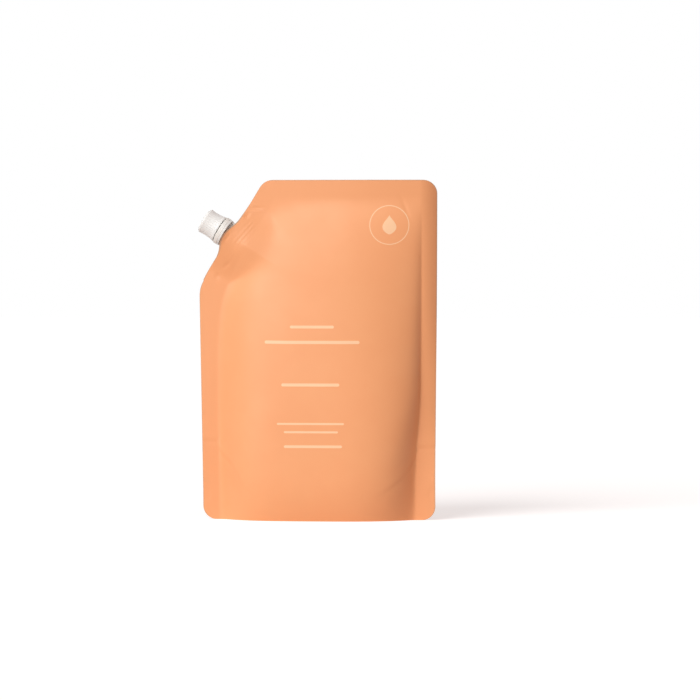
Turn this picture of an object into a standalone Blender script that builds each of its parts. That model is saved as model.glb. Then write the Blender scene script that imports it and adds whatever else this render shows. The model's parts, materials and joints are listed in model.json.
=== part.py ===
"""Stand-up refill pouch of liquid soap with a screw-capped spout in its cut corner.

Metres, +Z up. The front of the pouch faces -Y and the origin is on the ground
under its middle. The pouch is a sealed bag of welded film, so film and contents
are one solid, open only where the real bag is open: between the skirts under the
bottom gusset, and round the weld base of the spout. Spout, tamper band and cap
are mouldings on one slanted axis, held by the empty named spout_axis. In that
empty's frame X runs up the cut corner, Y towards the back and Z out of the spout,
from the crest of the film's edge.
"""

import math

import bmesh
import bpy
from mathutils import Matrix, Vector

MM = 0.001

# Outline of the pouch, seen from the front
POUCH_WIDTH = 139.5 * MM  # of the flat bag
SIDE_DRAW = 1.0 * MM  # the full belly draws each side in by this
POUCH_HEIGHT = 199 * MM
CORNER_RADIUS = 8 * MM
CUT_DROP = 63 * MM  # how far below the top the cut corner starts
CUT_SLANT = math.radians(31.2)  # slant of the cut corner from the vertical
CUT_FOOT_RADIUS = 17 * MM
CUT_HEAD_RADIUS = 9 * MM
TAB_RISE = 3.7 * MM  # film standing proud of the cut, round the spout
TAB_HALF_LENGTH = 16 * MM

# Welded edges
WELD_THICKNESS = 0.6 * MM
SIDE_WELD = 8.5 * MM
TOP_WELD = 10 * MM
CUT_WELD = 10 * MM
TACK_RADIUS = 4.4 * MM  # half-moon tacks that hold front and back together
TACK_HEIGHT = 14.5 * MM
TACK_DEPTH = 0.12 * MM

# Filled belly, as half depths from the welded plane
BELLY_DEPTH = 20 * MM
BELLY_HEIGHT = 32 * MM
BASE_DEPTH = 13.5 * MM
BELLY_TAPER = 1.35  # how the depth dies away towards the top weld
BELLY_FLANK = 0.65  # below 1 the flanks are steeper than a lens
BASE_FLANK = 1.1  # the skirts' flanks at the ground are flatter
LEAN = math.radians(4)  # the cut corner leans back from the upright weld plane
LEAN_REACH = 60 * MM
LEAN_BEND = 40 * MM

# Bottom gusset
SKIRT_THICKNESS = 0.6 * MM
GUSSET_WELD = 6 * MM  # height of the gusset's weld at the middle of the skirt
GUSSET_WELD_TOP = 42 * MM  # and at the side welds
GUSSET_FOLD_TOP = 45 * MM
GUSSET_PRESS = 1.2 * MM  # how far the weight would push the fold past the ground
GUSSET_FOLD_CURVE = 2.6  # how late the fold rises towards the side welds
GUSSET_BOX = 2.4  # 2 is a round hollow under the gusset, more is boxier
GUSSET_BOX_SIDES = 1.3

# Pieces that touch on the real pouch
SEAT_GAP = 0.3 * MM

# Spout
BORE = 8.6 * MM
SPOUT_ALONG = 35.2 * MM  # from the foot of the cut corner, along it
BASE_WALL = 1.3 * MM
BASE_HALF_LENGTH = 15.5 * MM
BASE_TIP = 0.3 * MM  # half thickness of the base's wing tips
BASE_HEIGHT = 10 * MM
BASE_INSET = 4.3 * MM  # from the crest of the film's edge down to the base
RIB_HEIGHT = 0.25 * MM
RIB_WIDTH = 0.6 * MM
RIB_PITCH = 2.3 * MM
RIB_FIRST = 1.1 * MM
RIB_COUNT = 4
NECK_WALL = 1.0 * MM
FLANGE_THICKNESS = 0.4 * MM
FLANGE_STEP = 0.2 * MM  # the flange is this much smaller than the band, in radius
BEAD_RISE = 0.7 * MM  # bead over the thread's crest
BEAD_HEIGHT = 0.6 * MM
MOUTH_CHAMFER = 0.35 * MM

# Thread, right-hand
LEAD = 3.0 * MM
THREAD_DEPTH = 0.7 * MM
THREAD_ROOT = 1.7 * MM
THREAD_CREST = 0.9 * MM
THREAD_GAP = 0.3 * MM
NECK_THREAD_TURNS = 1.75
NECK_THREAD_START = 1.6 * MM  # over the foot of the cap
CAP_THREAD_TURNS = 1.25
CAP_THREAD_PLACE = 1 / 3  # of a turn round from where the neck's thread starts
THREAD_RUNOUT = 1 / 6  # of a turn, in which a thread's end thins into its wall
THREAD_END_WIDTH = 0.6  # of its full width

# Tamper band
BAND_HEIGHT = 2.2 * MM
BAND_WALL = 1.3 * MM
BAND_LIP = 0.5 * MM
BAND_PLAY = 0.4 * MM  # round the bead and the neck
BRIDGE_COUNT = 8
BRIDGE_WIDTH = 0.8 * MM
BRIDGE_HEIGHT = 0.25 * MM

# Cap
CAP_LENGTH = 10.9 * MM
CAP_TOP = 1.2 * MM
CAP_WALL = 0.75 * MM
CAP_FLARE = 0.65 * MM  # the foot stands out over the waist
CAP_FLARE_CURVE = 2.2  # how fast the flare draws in above the foot
CAP_RIM = 0.7 * MM  # height of the plain foot under the grip ribs
CAP_CLEARANCE = 0.55 * MM  # between cap and band, where the bridges were
CAP_TOP_RADIUS = 1.4 * MM
GRIP_RIBS = 36
GRIP_DEPTH = 0.3 * MM
GRIP_RUNIN = 0.1 * MM  # the ribs' feet stand this much inside the plain foot
MOUTH_GAP = 0.7 * MM
PLUG_LENGTH = 1.5 * MM
PLUG_WALL = 0.8 * MM

# Fineness of the curved faces
ROUND_SEGMENTS = 48
BELLY_COLUMNS = 22
WELD_COLUMNS = 4
ARC_STEPS = 6
GUSSET_STEPS = 12
SKIRT_STEPS = 3
WAIST_STEPS = 4
CROWN_STEPS = 3
SHARP_EDGE = math.radians(35)  # steeper edges are shown sharp
OVERLAP = 0.3 * MM  # how deep joined shapes reach into each other
CUT_MARGIN = 5 * MM  # how far cutters reach past what they cut

# Colours, linear
FILM_COLOUR = (0.93, 0.41, 0.20, 1)
CAP_COLOUR = (0.84, 0.84, 0.82, 1)
SPOUT_COLOUR = (0.80, 0.79, 0.76, 1)

# The cut corner's line and the spout's frame on it
UP_THE_CUT = Vector((math.sin(CUT_SLANT), 0, math.cos(CUT_SLANT)))
OUT_OF_CUT = Vector((-math.cos(CUT_SLANT), 0, math.sin(CUT_SLANT)))
CUT_FOOT = Vector((SIDE_DRAW / 4 - POUCH_WIDTH / 2, 0, POUCH_HEIGHT - CUT_DROP))
CUT_MIDDLE = CUT_FOOT + UP_THE_CUT * SPOUT_ALONG

# Radii round the spout's axis, from the bore outwards
BORE_RADIUS = BORE / 2
NECK_RADIUS = BORE_RADIUS + NECK_WALL
THREAD_RADIUS = NECK_RADIUS + THREAD_DEPTH
BEAD_RADIUS = THREAD_RADIUS + BEAD_RISE
BAND_BORE_RADIUS = BEAD_RADIUS + BAND_PLAY
BAND_RADIUS = BAND_BORE_RADIUS + BAND_WALL
FLANGE_RADIUS = BAND_RADIUS - FLANGE_STEP
CAP_BORE_RADIUS = THREAD_RADIUS + THREAD_GAP
CAP_WAIST_RADIUS = CAP_BORE_RADIUS + CAP_WALL + GRIP_DEPTH
PLUG_RADIUS = BORE_RADIUS - SEAT_GAP
BASE_HALF_THICKNESS = BORE_RADIUS + BASE_WALL

# Heights along the spout's axis, from the crest of the film's edge outwards
BASE_TOP = -BASE_INSET
BASE_BOTTOM = BASE_TOP - BASE_HEIGHT
FLANGE_BOTTOM = SEAT_GAP
FLANGE_TOP = FLANGE_BOTTOM + FLANGE_THICKNESS
BAND_BOTTOM = FLANGE_TOP + SEAT_GAP
BEAD_BOTTOM = BAND_BOTTOM + BAND_LIP + SEAT_GAP
BAND_TOP = BAND_BOTTOM + BAND_HEIGHT
CAP_FOOT = BAND_TOP + CAP_CLEARANCE
CAP_CEILING = CAP_FOOT + CAP_LENGTH - CAP_TOP
MOUTH = CAP_CEILING - MOUTH_GAP


def clear_scene():
    """Remove every object of the open file."""
    for item in list(bpy.data.objects):
        bpy.data.objects.remove(item)


def plain_material(name, colour, roughness):
    """A Principled BSDF with the piece's colour and gloss."""
    material = bpy.data.materials.new(name)
    material.use_nodes = True
    shader = material.node_tree.nodes["Principled BSDF"]
    shader.inputs["Base Color"].default_value = colour
    shader.inputs["Roughness"].default_value = roughness
    shader.inputs["Metallic"].default_value = 0
    material.diffuse_color = colour
    return material


def add_object(name, shape, material=None, parent=None, height=0.0):
    """Make an object of a bmesh; a parented one stands at a height on its parent's axis."""
    bmesh.ops.recalc_face_normals(shape, faces=shape.faces)
    mesh = bpy.data.meshes.new(name)
    shape.to_mesh(mesh)
    shape.free()
    mesh.shade_smooth()
    mesh.set_sharp_from_angle(angle=SHARP_EDGE)
    item = bpy.data.objects.new(name, mesh)
    bpy.context.scene.collection.objects.link(item)
    item.parent = parent
    item.location = (0, 0, height)
    if material:
        mesh.materials.append(material)
    return item


def add_tool(name, shape, parent=None, height=0.0):
    """Make an object that only cuts or joins, shown as wire and left out of the part."""
    tool = add_object(name, shape, None, parent, height)
    tool.hide_render = True
    tool.display_type = "WIRE"
    return tool


def combine(item, tool, operation):
    """Join the tool to the item, or cut it away, with an exact Boolean."""
    modifier = item.modifiers.new(tool.name, "BOOLEAN")
    modifier.object = tool
    modifier.operation = operation
    modifier.solver = "EXACT"


def turned(profile):
    """Turn a closed outline of (radius, height) points round Z."""
    shape = bmesh.new()
    points = [shape.verts.new((radius, 0, height)) for radius, height in profile]
    pairs = zip(points, points[1:] + points[:1])
    edges = [shape.edges.new(pair) for pair in pairs if any(point.co.x > 0 for point in pair)]
    bmesh.ops.spin(
        shape,
        geom=points + edges,
        cent=(0, 0, 0),
        axis=(0, 0, 1),
        angle=2 * math.pi,
        steps=ROUND_SEGMENTS,
        use_merge=True,
    )
    bmesh.ops.remove_doubles(shape, verts=shape.verts, dist=MM / 1000)
    return shape


def lofted(rings):
    """Join rings of as many points each into a closed skin with flat ends."""
    shape = bmesh.new()
    loops = [[shape.verts.new(point) for point in ring] for ring in rings]
    for lower, upper in zip(loops, loops[1:]):
        for i in range(len(lower)):
            shape.faces.new((lower[i - 1], lower[i], upper[i], upper[i - 1]))
    shape.faces.new(loops[0])
    shape.faces.new(loops[-1])
    return shape


def spaced(start, end, step):
    """Evenly spaced values of about one step, from the start up to but not at the end."""
    count = max(1, round((end - start) / step))
    return [start + (end - start) * i / count for i in range(count)]


def cut_line(z):
    """Where the straight cut of the corner is at a height."""
    return CUT_FOOT.x + (z - CUT_FOOT.z) * math.tan(CUT_SLANT)


def on_the_cut(x, z):
    """A point's place along the cut from the spout's axis, and its depth inside the cut."""
    offset = Vector((x, 0, z)) - CUT_MIDDLE
    return offset.dot(UP_THE_CUT), -offset.dot(OUT_OF_CUT)


def belly_depth(z):
    """Half depth of the filled bag at the middle of a height."""
    if z < BELLY_HEIGHT:
        drop = 1 - z / BELLY_HEIGHT
        return BELLY_DEPTH - (BELLY_DEPTH - BASE_DEPTH) * drop**2
    rise = (z - BELLY_HEIGHT) / (POUCH_HEIGHT - TOP_WELD - BELLY_HEIGHT)
    return BELLY_DEPTH * max(0, 1 - rise**BELLY_TAPER)


def side_edge(z):
    """Half the pouch's width at a height, drawn in where the belly is full."""
    return POUCH_WIDTH / 2 - SIDE_DRAW * (belly_depth(z) / BELLY_DEPTH) ** 2


def left_edge(z):
    """The pouch's left edge at a height, with the cut corner and the spout's tab."""
    side = -side_edge(z)
    foot_run = CUT_FOOT_RADIUS * math.tan(CUT_SLANT / 2)
    head_run = CUT_HEAD_RADIUS * math.tan((math.pi / 2 - CUT_SLANT) / 2)
    head_start = POUCH_HEIGHT - head_run * math.cos(CUT_SLANT)
    if z < CORNER_RADIUS:
        return side + CORNER_RADIUS - math.sqrt(CORNER_RADIUS**2 - (CORNER_RADIUS - z) ** 2)
    if z < CUT_FOOT.z - foot_run:
        return side
    if z < CUT_FOOT.z + foot_run * math.cos(CUT_SLANT):
        rise = z - (CUT_FOOT.z - foot_run)
        return side + CUT_FOOT_RADIUS - math.sqrt(CUT_FOOT_RADIUS**2 - rise**2)
    if z > head_start:
        centre = cut_line(head_start) + CUT_HEAD_RADIUS * math.cos(CUT_SLANT)
        rise = z - (POUCH_HEIGHT - CUT_HEAD_RADIUS)
        return centre - math.sqrt(max(0, CUT_HEAD_RADIUS**2 - rise**2))
    along = on_the_cut(cut_line(z), z)[0]
    if abs(along) > TAB_HALF_LENGTH:
        return cut_line(z)
    tab = TAB_RISE * math.cos(math.pi / 2 * along / TAB_HALF_LENGTH) ** 2
    return cut_line(z) - tab / math.cos(CUT_SLANT)


def right_edge(z):
    """The pouch's right edge at a height, with its two round corners."""
    corner = max(CORNER_RADIUS - z, z - (POUCH_HEIGHT - CORNER_RADIUS), 0)
    return side_edge(z) - CORNER_RADIUS + math.sqrt(max(0, CORNER_RADIUS**2 - corner**2))


def belly_limits(z):
    """The inner lines of the side welds at a height, between which the bag is filled."""
    side = SIDE_WELD - side_edge(z)
    cut = cut_line(z) + CUT_WELD / math.cos(CUT_SLANT)
    left = (side + cut + math.hypot(side - cut, CUT_WELD)) / 2
    least = WELD_THICKNESS
    return max(left, left_edge(z) + least), min(-side, right_edge(z) - least)


def spout_relief(x, z):
    """How far the film stands out over the spout's weld base, dying away inwards."""
    along, depth = on_the_cut(x, z)
    wall = RIB_HEIGHT + SEAT_GAP + SKIRT_THICKNESS
    crest = BASE_HALF_THICKNESS + wall - WELD_THICKNESS / 2
    half_length = BASE_HALF_LENGTH + 3 * wall
    sides = max(0, 1 - (along / half_length) ** 2)
    base_depth = BASE_INSET + BASE_HEIGHT - TAB_RISE + SEAT_GAP
    fade = (depth - base_depth - wall) / (4 * BASE_HEIGHT)
    return crest * sides * (1 - min(1, max(0, fade))) ** 1.5


def half_depth(x, z):
    """The film's distance from the welded plane, at a place seen from the front."""
    left, right = belly_limits(z)
    share = (2 * x - left - right) / (right - left)
    low = max(0, 1 - z / GUSSET_WELD_TOP)
    flank = BELLY_FLANK + (BASE_FLANK - BELLY_FLANK) * low**2
    belly = belly_depth(z) * max(0, 1 - share**2) ** flank
    relief = spout_relief(x, z)
    return WELD_THICKNESS / 2 + (belly**4 + relief**4) ** 0.25


def weld_plane(x, z):
    """A point of the welded plane, which leans back at the cut corner, and the plane's normal."""
    reach = max(0, LEAN_REACH - on_the_cut(x, z)[1])
    bent = min(reach, LEAN_BEND)
    slope = math.tan(LEAN) * bent / LEAN_BEND
    back = math.tan(LEAN) * (bent**2 / (2 * LEAN_BEND) + reach - bent)
    return Vector((x, back, z)), (Vector((0, 1, 0)) - OUT_OF_CUT * slope).normalized()


def row_heights():
    """Heights of the film's rows, closer together where the outline bends."""
    low = [CORNER_RADIUS * (1 - math.cos(math.pi / 2 * i / ARC_STEPS)) for i in range(ARC_STEPS)]
    foot = CUT_FOOT.z - CUT_FOOT_RADIUS * math.tan(CUT_SLANT / 2)
    head = POUCH_HEIGHT - CORNER_RADIUS
    high = [head + CORNER_RADIUS * math.sin(math.pi / 2 * i / ARC_STEPS) for i in range(ARC_STEPS + 1)]
    return low + spaced(CORNER_RADIUS, foot, 9 * MM) + spaced(foot, head, 3.4 * MM) + high


def belly_shares():
    """Places across the belly from -1 to 1, closer together at the flanks."""
    return [-math.cos(math.pi * i / BELLY_COLUMNS) for i in range(BELLY_COLUMNS + 1)]


def columns(z):
    """Places across the pouch at a height: left weld, belly, right weld."""
    left, right = belly_limits(z)
    outer = left_edge(z)
    weld = [outer + (left - outer) * i / WELD_COLUMNS for i in range(WELD_COLUMNS)]
    belly = [(left + right) / 2 + (right - left) / 2 * share for share in belly_shares()]
    return weld + belly + [right_edge(z)]


def film_body():
    """The bag as a closed skin: front film, back film and the thin edge between them."""
    shape = bmesh.new()
    front = []
    back = []
    for z in row_heights():
        front.append([])
        back.append([])
        for x in columns(z):
            point, normal = weld_plane(x, z)
            front[-1].append(shape.verts.new(point - normal * half_depth(x, z)))
            back[-1].append(shape.verts.new(point + normal * half_depth(x, z)))
    for side in (front, back):
        for lower, upper in zip(side, side[1:]):
            for i in range(1, len(lower)):
                shape.faces.new((lower[i - 1], lower[i], upper[i], upper[i - 1]))
    for row in (0, -1):
        for i in range(1, len(front[row])):
            near = (front[row][i - 1], front[row][i])
            shape.faces.new((*near, back[row][i], back[row][i - 1]))
    for end in (0, -1):
        for i in range(1, len(front)):
            near = (front[i - 1][end], front[i][end])
            shape.faces.new((*near, back[i][end], back[i - 1][end]))
    return shape


def gusset_void():
    """The room under the gusset: between the skirts and below the folded bottom film."""
    rings = []
    for share in belly_shares()[2:-2]:
        ease = 1 - math.sqrt(1 - share**2)
        weld = GUSSET_WELD + (GUSSET_WELD_TOP - GUSSET_WELD) * ease
        rise = abs(share) ** GUSSET_FOLD_CURVE
        fold = (GUSSET_FOLD_TOP + GUSSET_PRESS) * rise - GUSSET_PRESS
        curve = GUSSET_BOX + (GUSSET_BOX_SIDES - GUSSET_BOX) * abs(share)
        wall = []
        for i in range(SKIRT_STEPS + 1):
            z = weld * i / SKIRT_STEPS
            left, right = belly_limits(z)
            x = (left + right) / 2 + (right - left) / 2 * share
            wall.append((x, half_depth(x, z) - SKIRT_THICKNESS, z))
        arch = []
        for i in range(1, GUSSET_STEPS):
            across = 2 * i / GUSSET_STEPS - 1
            height = fold + (weld - fold) * abs(across) ** curve
            arch.append((wall[-1][0], across * wall[-1][1], height))
        foot = (wall[0][0], wall[0][1], -CUT_MARGIN)
        near = [(x, -y, z) for x, y, z in (foot, *wall)]
        rings.append(near + arch + wall[::-1] + [foot])
    return lofted(rings)


def boat_ring(height, swell):
    """One section of the boat-shaped weld base, with every side moved out by the swell."""
    half_length = BASE_HALF_LENGTH + swell
    steps = ROUND_SEGMENTS // 4
    near = []
    for i in range(steps + 1):
        share = math.sin(math.pi / 2 * (2 * i / steps - 1))
        thickness = (BASE_HALF_THICKNESS - BASE_TIP) * (1 - share**2) + BASE_TIP + swell
        near.append((half_length * share, -thickness, height))
    return near + [(x, -y, z) for x, y, z in near[::-1]]


def spout_pocket():
    """The room that the film leaves for the weld base, open at the cut."""
    swell = RIB_HEIGHT + SEAT_GAP
    return lofted([boat_ring(BASE_BOTTOM - SEAT_GAP, swell), boat_ring(CUT_MARGIN, swell)])


def tack_cutters():
    """Shallow half-moons on both faces of both side welds."""
    shape = bmesh.new()
    length = CUT_MARGIN
    reach = WELD_THICKNESS / 2 - TACK_DEPTH + length / 2
    side = side_edge(TACK_HEIGHT)
    for x in (-side, side):
        for y in (-reach, reach):
            place = Matrix.Translation((x, y, TACK_HEIGHT)) @ Matrix.Rotation(math.pi / 2, 4, "X")
            bmesh.ops.create_cone(
                shape,
                cap_ends=True,
                segments=ROUND_SEGMENTS // 2,
                radius1=TACK_RADIUS,
                radius2=TACK_RADIUS,
                depth=length,
                matrix=place,
            )
    return shape


def build_pouch(axis):
    """The sealed bag, less the room under its gusset and round the spout's base."""
    film = plain_material("peach_film", FILM_COLOUR, 0.55)
    pouch = add_object("pouch", film_body(), film)
    combine(pouch, add_tool("gusset_void", gusset_void()), "DIFFERENCE")
    combine(pouch, add_tool("spout_pocket", spout_pocket(), axis), "DIFFERENCE")
    combine(pouch, add_tool("tack_cutters", tack_cutters()), "DIFFERENCE")
    return pouch


def weld_base():
    """Boat-shaped base with raised ribs that the film is welded to."""
    rings = [boat_ring(BASE_BOTTOM, 0)]
    for i in range(RIB_COUNT):
        middle = BASE_BOTTOM + RIB_FIRST + RIB_PITCH * i
        for reach, swell in ((-1, 0), (-0.5, RIB_HEIGHT), (0.5, RIB_HEIGHT), (1, 0)):
            rings.append(boat_ring(middle + RIB_WIDTH * reach, swell))
    rings.append(boat_ring(BASE_TOP, 0))
    return lofted(rings)


def helix(wall_radius, crest_radius, start, turns):
    """A right-hand thread ridge on a wall, thinning into the wall at both ends.

    The crest is outside the wall on a neck and inside it in a cap.
    """
    out = math.copysign(1, crest_radius - wall_radius)
    buried = wall_radius - out * OVERLAP
    sunk = wall_radius - out * OVERLAP / 2
    steps = round(ROUND_SEGMENTS * turns)
    runout = ROUND_SEGMENTS * THREAD_RUNOUT
    rings = []
    for i in range(steps + 1):
        full = min(1, i / runout, (steps - i) / runout)
        turn = (i + 0.5) / ROUND_SEGMENTS  # between the wall's own edges
        tip = sunk + (crest_radius - sunk) * full
        width = THREAD_END_WIDTH + (1 - THREAD_END_WIDTH) * full
        root = THREAD_ROOT / 2 * width
        crest = THREAD_CREST / 2 * width
        section = ((buried, -root), (tip, -crest), (tip, crest), (buried, root))
        angle = 2 * math.pi * turn
        height = start + LEAD * turn
        direction = Vector((math.cos(angle), math.sin(angle), 0))
        rings.append([direction * radius + Vector((0, 0, height + rise)) for radius, rise in section])
    return lofted(rings)


def neck_profile():
    """Outline of the neck: flange under the band, bead inside it, barrel up to the mouth."""
    bead_top = BEAD_BOTTOM + BEAD_HEIGHT
    return [
        (0, BASE_TOP - BASE_HEIGHT / 2),
        (NECK_RADIUS, BASE_TOP - BASE_HEIGHT / 2),
        (NECK_RADIUS, FLANGE_BOTTOM),
        (FLANGE_RADIUS, FLANGE_BOTTOM),
        (FLANGE_RADIUS, FLANGE_TOP),
        (NECK_RADIUS, FLANGE_TOP),
        (NECK_RADIUS, BEAD_BOTTOM),
        (BEAD_RADIUS, BEAD_BOTTOM),
        (BEAD_RADIUS, BEAD_BOTTOM + BEAD_HEIGHT / 3),
        (THREAD_RADIUS, bead_top),
        (NECK_RADIUS, bead_top),
        (NECK_RADIUS, MOUTH - MOUTH_CHAMFER),
        (NECK_RADIUS - MOUTH_CHAMFER, MOUTH),
        (0, MOUTH),
    ]


def build_spout(axis):
    """One moulding: weld base, neck, flange, bead and thread, with the bore through all."""
    plastic = plain_material("spout_plastic", SPOUT_COLOUR, 0.35)
    spout = add_object("spout", turned(neck_profile()), plastic, axis)
    thread = helix(NECK_RADIUS, THREAD_RADIUS, CAP_FOOT + NECK_THREAD_START, NECK_THREAD_TURNS)
    below = BASE_BOTTOM - CUT_MARGIN
    above = MOUTH + CUT_MARGIN
    bore = turned([(0, below), (BORE_RADIUS, below), (BORE_RADIUS, above), (0, above)])
    combine(spout, add_tool("weld_base", weld_base(), axis), "UNION")
    combine(spout, add_tool("neck_thread", thread, axis), "UNION")
    combine(spout, add_tool("spout_bore", bore, axis), "DIFFERENCE")
    return spout


def bridge_stubs():
    """What the broken bridges leave on the top of the band."""
    shape = bmesh.new()
    radius = BAND_BORE_RADIUS + BAND_WALL / 2
    height = BRIDGE_HEIGHT + OVERLAP
    for i in range(BRIDGE_COUNT):
        turn = Matrix.Rotation(2 * math.pi * (i + 0.5) / BRIDGE_COUNT, 4, "Z")
        place = Matrix.Translation((radius, 0, BAND_HEIGHT + BRIDGE_HEIGHT - height / 2))
        size = Matrix.Diagonal((BAND_WALL / 2, BRIDGE_WIDTH, height, 1))
        bmesh.ops.create_cube(shape, size=1, matrix=turn @ place @ size)
    return shape


def build_tamper_band(axis):
    """Ring under the cap, held down by its lip under the neck's bead."""
    plastic = plain_material("band_plastic", CAP_COLOUR, 0.35)
    edge = BAND_WALL / 8
    lip_radius = NECK_RADIUS + BAND_PLAY
    profile = [
        (lip_radius, 0),
        (BAND_RADIUS - edge, 0),
        (BAND_RADIUS, edge),
        (BAND_RADIUS, BAND_HEIGHT - edge),
        (BAND_RADIUS - edge, BAND_HEIGHT),
        (BAND_BORE_RADIUS, BAND_HEIGHT),
        (BAND_BORE_RADIUS, BAND_LIP),
        (lip_radius, BAND_LIP),
    ]
    band = add_object("tamper_band", turned(profile), plastic, axis, BAND_BOTTOM)
    combine(band, add_tool("bridge_stubs", bridge_stubs(), axis, BAND_BOTTOM), "UNION")
    return band


def cap_rings():
    """(radius, height, share of the grip ribs) up the cap's side: foot, ribbed waist, round top."""
    foot = CAP_WAIST_RADIUS + CAP_FLARE
    rings = [(foot - GRIP_RUNIN, 0, 0), (foot, GRIP_RUNIN, 0), (foot, CAP_RIM, 0)]
    ribs_start = CAP_RIM + GRIP_DEPTH
    shoulder = CAP_LENGTH - CAP_TOP_RADIUS
    for i in range(WAIST_STEPS + 1):
        rise = i / WAIST_STEPS
        radius = CAP_WAIST_RADIUS + (CAP_FLARE - GRIP_RUNIN) * (1 - rise) ** CAP_FLARE_CURVE
        rings.append((radius, ribs_start + (shoulder - ribs_start) * rise, 1))
    for i in range(1, CROWN_STEPS + 1):
        angle = math.pi / 2 * i / CROWN_STEPS
        radius = CAP_WAIST_RADIUS - CAP_TOP_RADIUS * (1 - math.cos(angle))
        rings.append((radius, shoulder + CAP_TOP_RADIUS * math.sin(angle), 1 - i / CROWN_STEPS))
    return rings


def ribbed_body():
    """The cap's outer form with its fine grip ribs, solid inside."""
    rings = []
    for radius, height, ribbed in cap_rings():
        ring = []
        for i in range(4 * GRIP_RIBS):
            angle = 2 * math.pi * i / (4 * GRIP_RIBS)
            reach = radius - (GRIP_DEPTH * ribbed if i % 4 in (2, 3) else 0)
            ring.append((reach * math.cos(angle), reach * math.sin(angle), height))
        rings.append(ring)
    return lofted(rings)


def build_cap(axis):
    """Screw cap: ribbed cup with a thread inside and a plug ring that seals in the bore."""
    plastic = plain_material("cap_plastic", CAP_COLOUR, 0.35)
    cap = add_object("cap", ribbed_body(), plastic, axis, CAP_FOOT)
    ceiling = CAP_LENGTH - CAP_TOP
    cavity = [
        (0, -CUT_MARGIN),
        (CAP_BORE_RADIUS, -CUT_MARGIN),
        (CAP_BORE_RADIUS, ceiling),
        (PLUG_RADIUS, ceiling),
        (PLUG_RADIUS, ceiling - PLUG_LENGTH),
        (PLUG_RADIUS - PLUG_WALL, ceiling - PLUG_LENGTH),
        (PLUG_RADIUS - PLUG_WALL, ceiling),
        (0, ceiling),
    ]
    half_lead_below = NECK_THREAD_START + LEAD * (CAP_THREAD_PLACE - 0.5)
    thread = helix(CAP_BORE_RADIUS, NECK_RADIUS + THREAD_GAP, half_lead_below, CAP_THREAD_TURNS)
    turn = Matrix.Rotation(2 * math.pi * CAP_THREAD_PLACE, 3, "Z")
    bmesh.ops.rotate(thread, cent=(0, 0, 0), matrix=turn, verts=thread.verts)
    combine(cap, add_tool("cap_cavity", turned(cavity), axis, CAP_FOOT), "DIFFERENCE")
    combine(cap, add_tool("cap_thread", thread, axis, CAP_FOOT), "UNION")
    return cap


def spout_axis():
    """Empty at the crest of the film's edge, Z out along the spout."""
    crest = CUT_MIDDLE + OUT_OF_CUT * TAB_RISE
    outward = OUT_OF_CUT * math.cos(LEAN) + Vector((0, math.sin(LEAN), 0))
    frame = Matrix((UP_THE_CUT, outward.cross(UP_THE_CUT), outward)).transposed()
    axis = bpy.data.objects.new("spout_axis", None)
    bpy.context.scene.collection.objects.link(axis)
    axis.location = weld_plane(crest.x, crest.z)[0]
    axis.rotation_euler = frame.to_euler()
    return axis


def main():
    clear_scene()
    axis = spout_axis()
    build_pouch(axis)
    build_spout(axis)
    build_tamper_band(axis)
    build_cap(axis)
    bpy.context.view_layer.update()


main()
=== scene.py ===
"""Looks of a filled stand-up refill pouch with a screw-capped spout in its cut corner.

Metres, +Z up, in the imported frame: the front of the pouch faces -Y and the origin is on
the ground under its middle. Sizes in the classes are millimetres, and meshes are scaled
to metres when they are made. The mouldings share the spout's axis: in its frame X runs up
the cut corner, Y towards the back and Z out of the spout, from the crest of the film's edge.
"""

import json
import logging
import math
from collections.abc import Callable, Sequence
from dataclasses import dataclass
from enum import Enum

import bmesh
import bpy
import numpy as np
from mathutils import Matrix, Vector


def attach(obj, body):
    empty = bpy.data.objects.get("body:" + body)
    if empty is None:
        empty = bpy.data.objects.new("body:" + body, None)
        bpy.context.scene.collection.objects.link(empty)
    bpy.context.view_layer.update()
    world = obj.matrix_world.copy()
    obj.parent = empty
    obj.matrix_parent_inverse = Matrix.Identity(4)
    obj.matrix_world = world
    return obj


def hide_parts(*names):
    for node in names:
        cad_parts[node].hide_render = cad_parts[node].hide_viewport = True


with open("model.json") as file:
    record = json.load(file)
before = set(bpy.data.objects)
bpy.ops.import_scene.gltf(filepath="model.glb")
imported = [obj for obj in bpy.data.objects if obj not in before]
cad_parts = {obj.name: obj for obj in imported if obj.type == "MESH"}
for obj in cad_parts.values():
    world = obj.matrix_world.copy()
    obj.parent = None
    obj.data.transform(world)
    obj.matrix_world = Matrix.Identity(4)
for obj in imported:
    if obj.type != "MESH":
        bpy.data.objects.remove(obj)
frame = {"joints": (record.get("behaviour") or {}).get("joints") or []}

LOG = logging.getLogger("refill_pouch")
MM = 0.001
SHARP_EDGE = math.radians(40)
WHITE = (1.0, 1.0, 1.0)
SLIVER = 2e-6
NO_LENGTH = 1e-7
CUT_SLANT = math.radians(31.2)
THREAD_ROW = 0.13
MIX_SHARE, MIX_LOW, MIX_HIGH, MIX_COLOUR = 0, 6, 7, 2
MOTTLED = (0.3, 0.7)
RUBBED = (0.52, 0.7)

Colour = tuple[float, float, float]
Node = bpy.types.Node
Socket = bpy.types.NodeSocket
Row = Sequence[bmesh.types.BMVert]
Places = tuple[np.ndarray, np.ndarray]
Carving = Callable[[np.ndarray, np.ndarray, np.ndarray], Places]


class Side(Enum):
    """Which film of the bag: the sign is the direction of its outer face along +Y."""

    FRONT = -1
    BACK = 1


class Joining(Enum):
    """What a tool does to the piece it is combined with."""

    ADD = "UNION"
    CUT = "DIFFERENCE"


def bump(distance: np.ndarray, width: float) -> np.ndarray:
    """A soft ridge of height 1 round distance 0.

    Args:
        distance: Distances from the ridge's line.
        width: Distance at which the ridge has mostly died away.

    Returns:
        The ridge's share of its height at each distance.
    """
    return np.exp(-((distance / width) ** 2))


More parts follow.
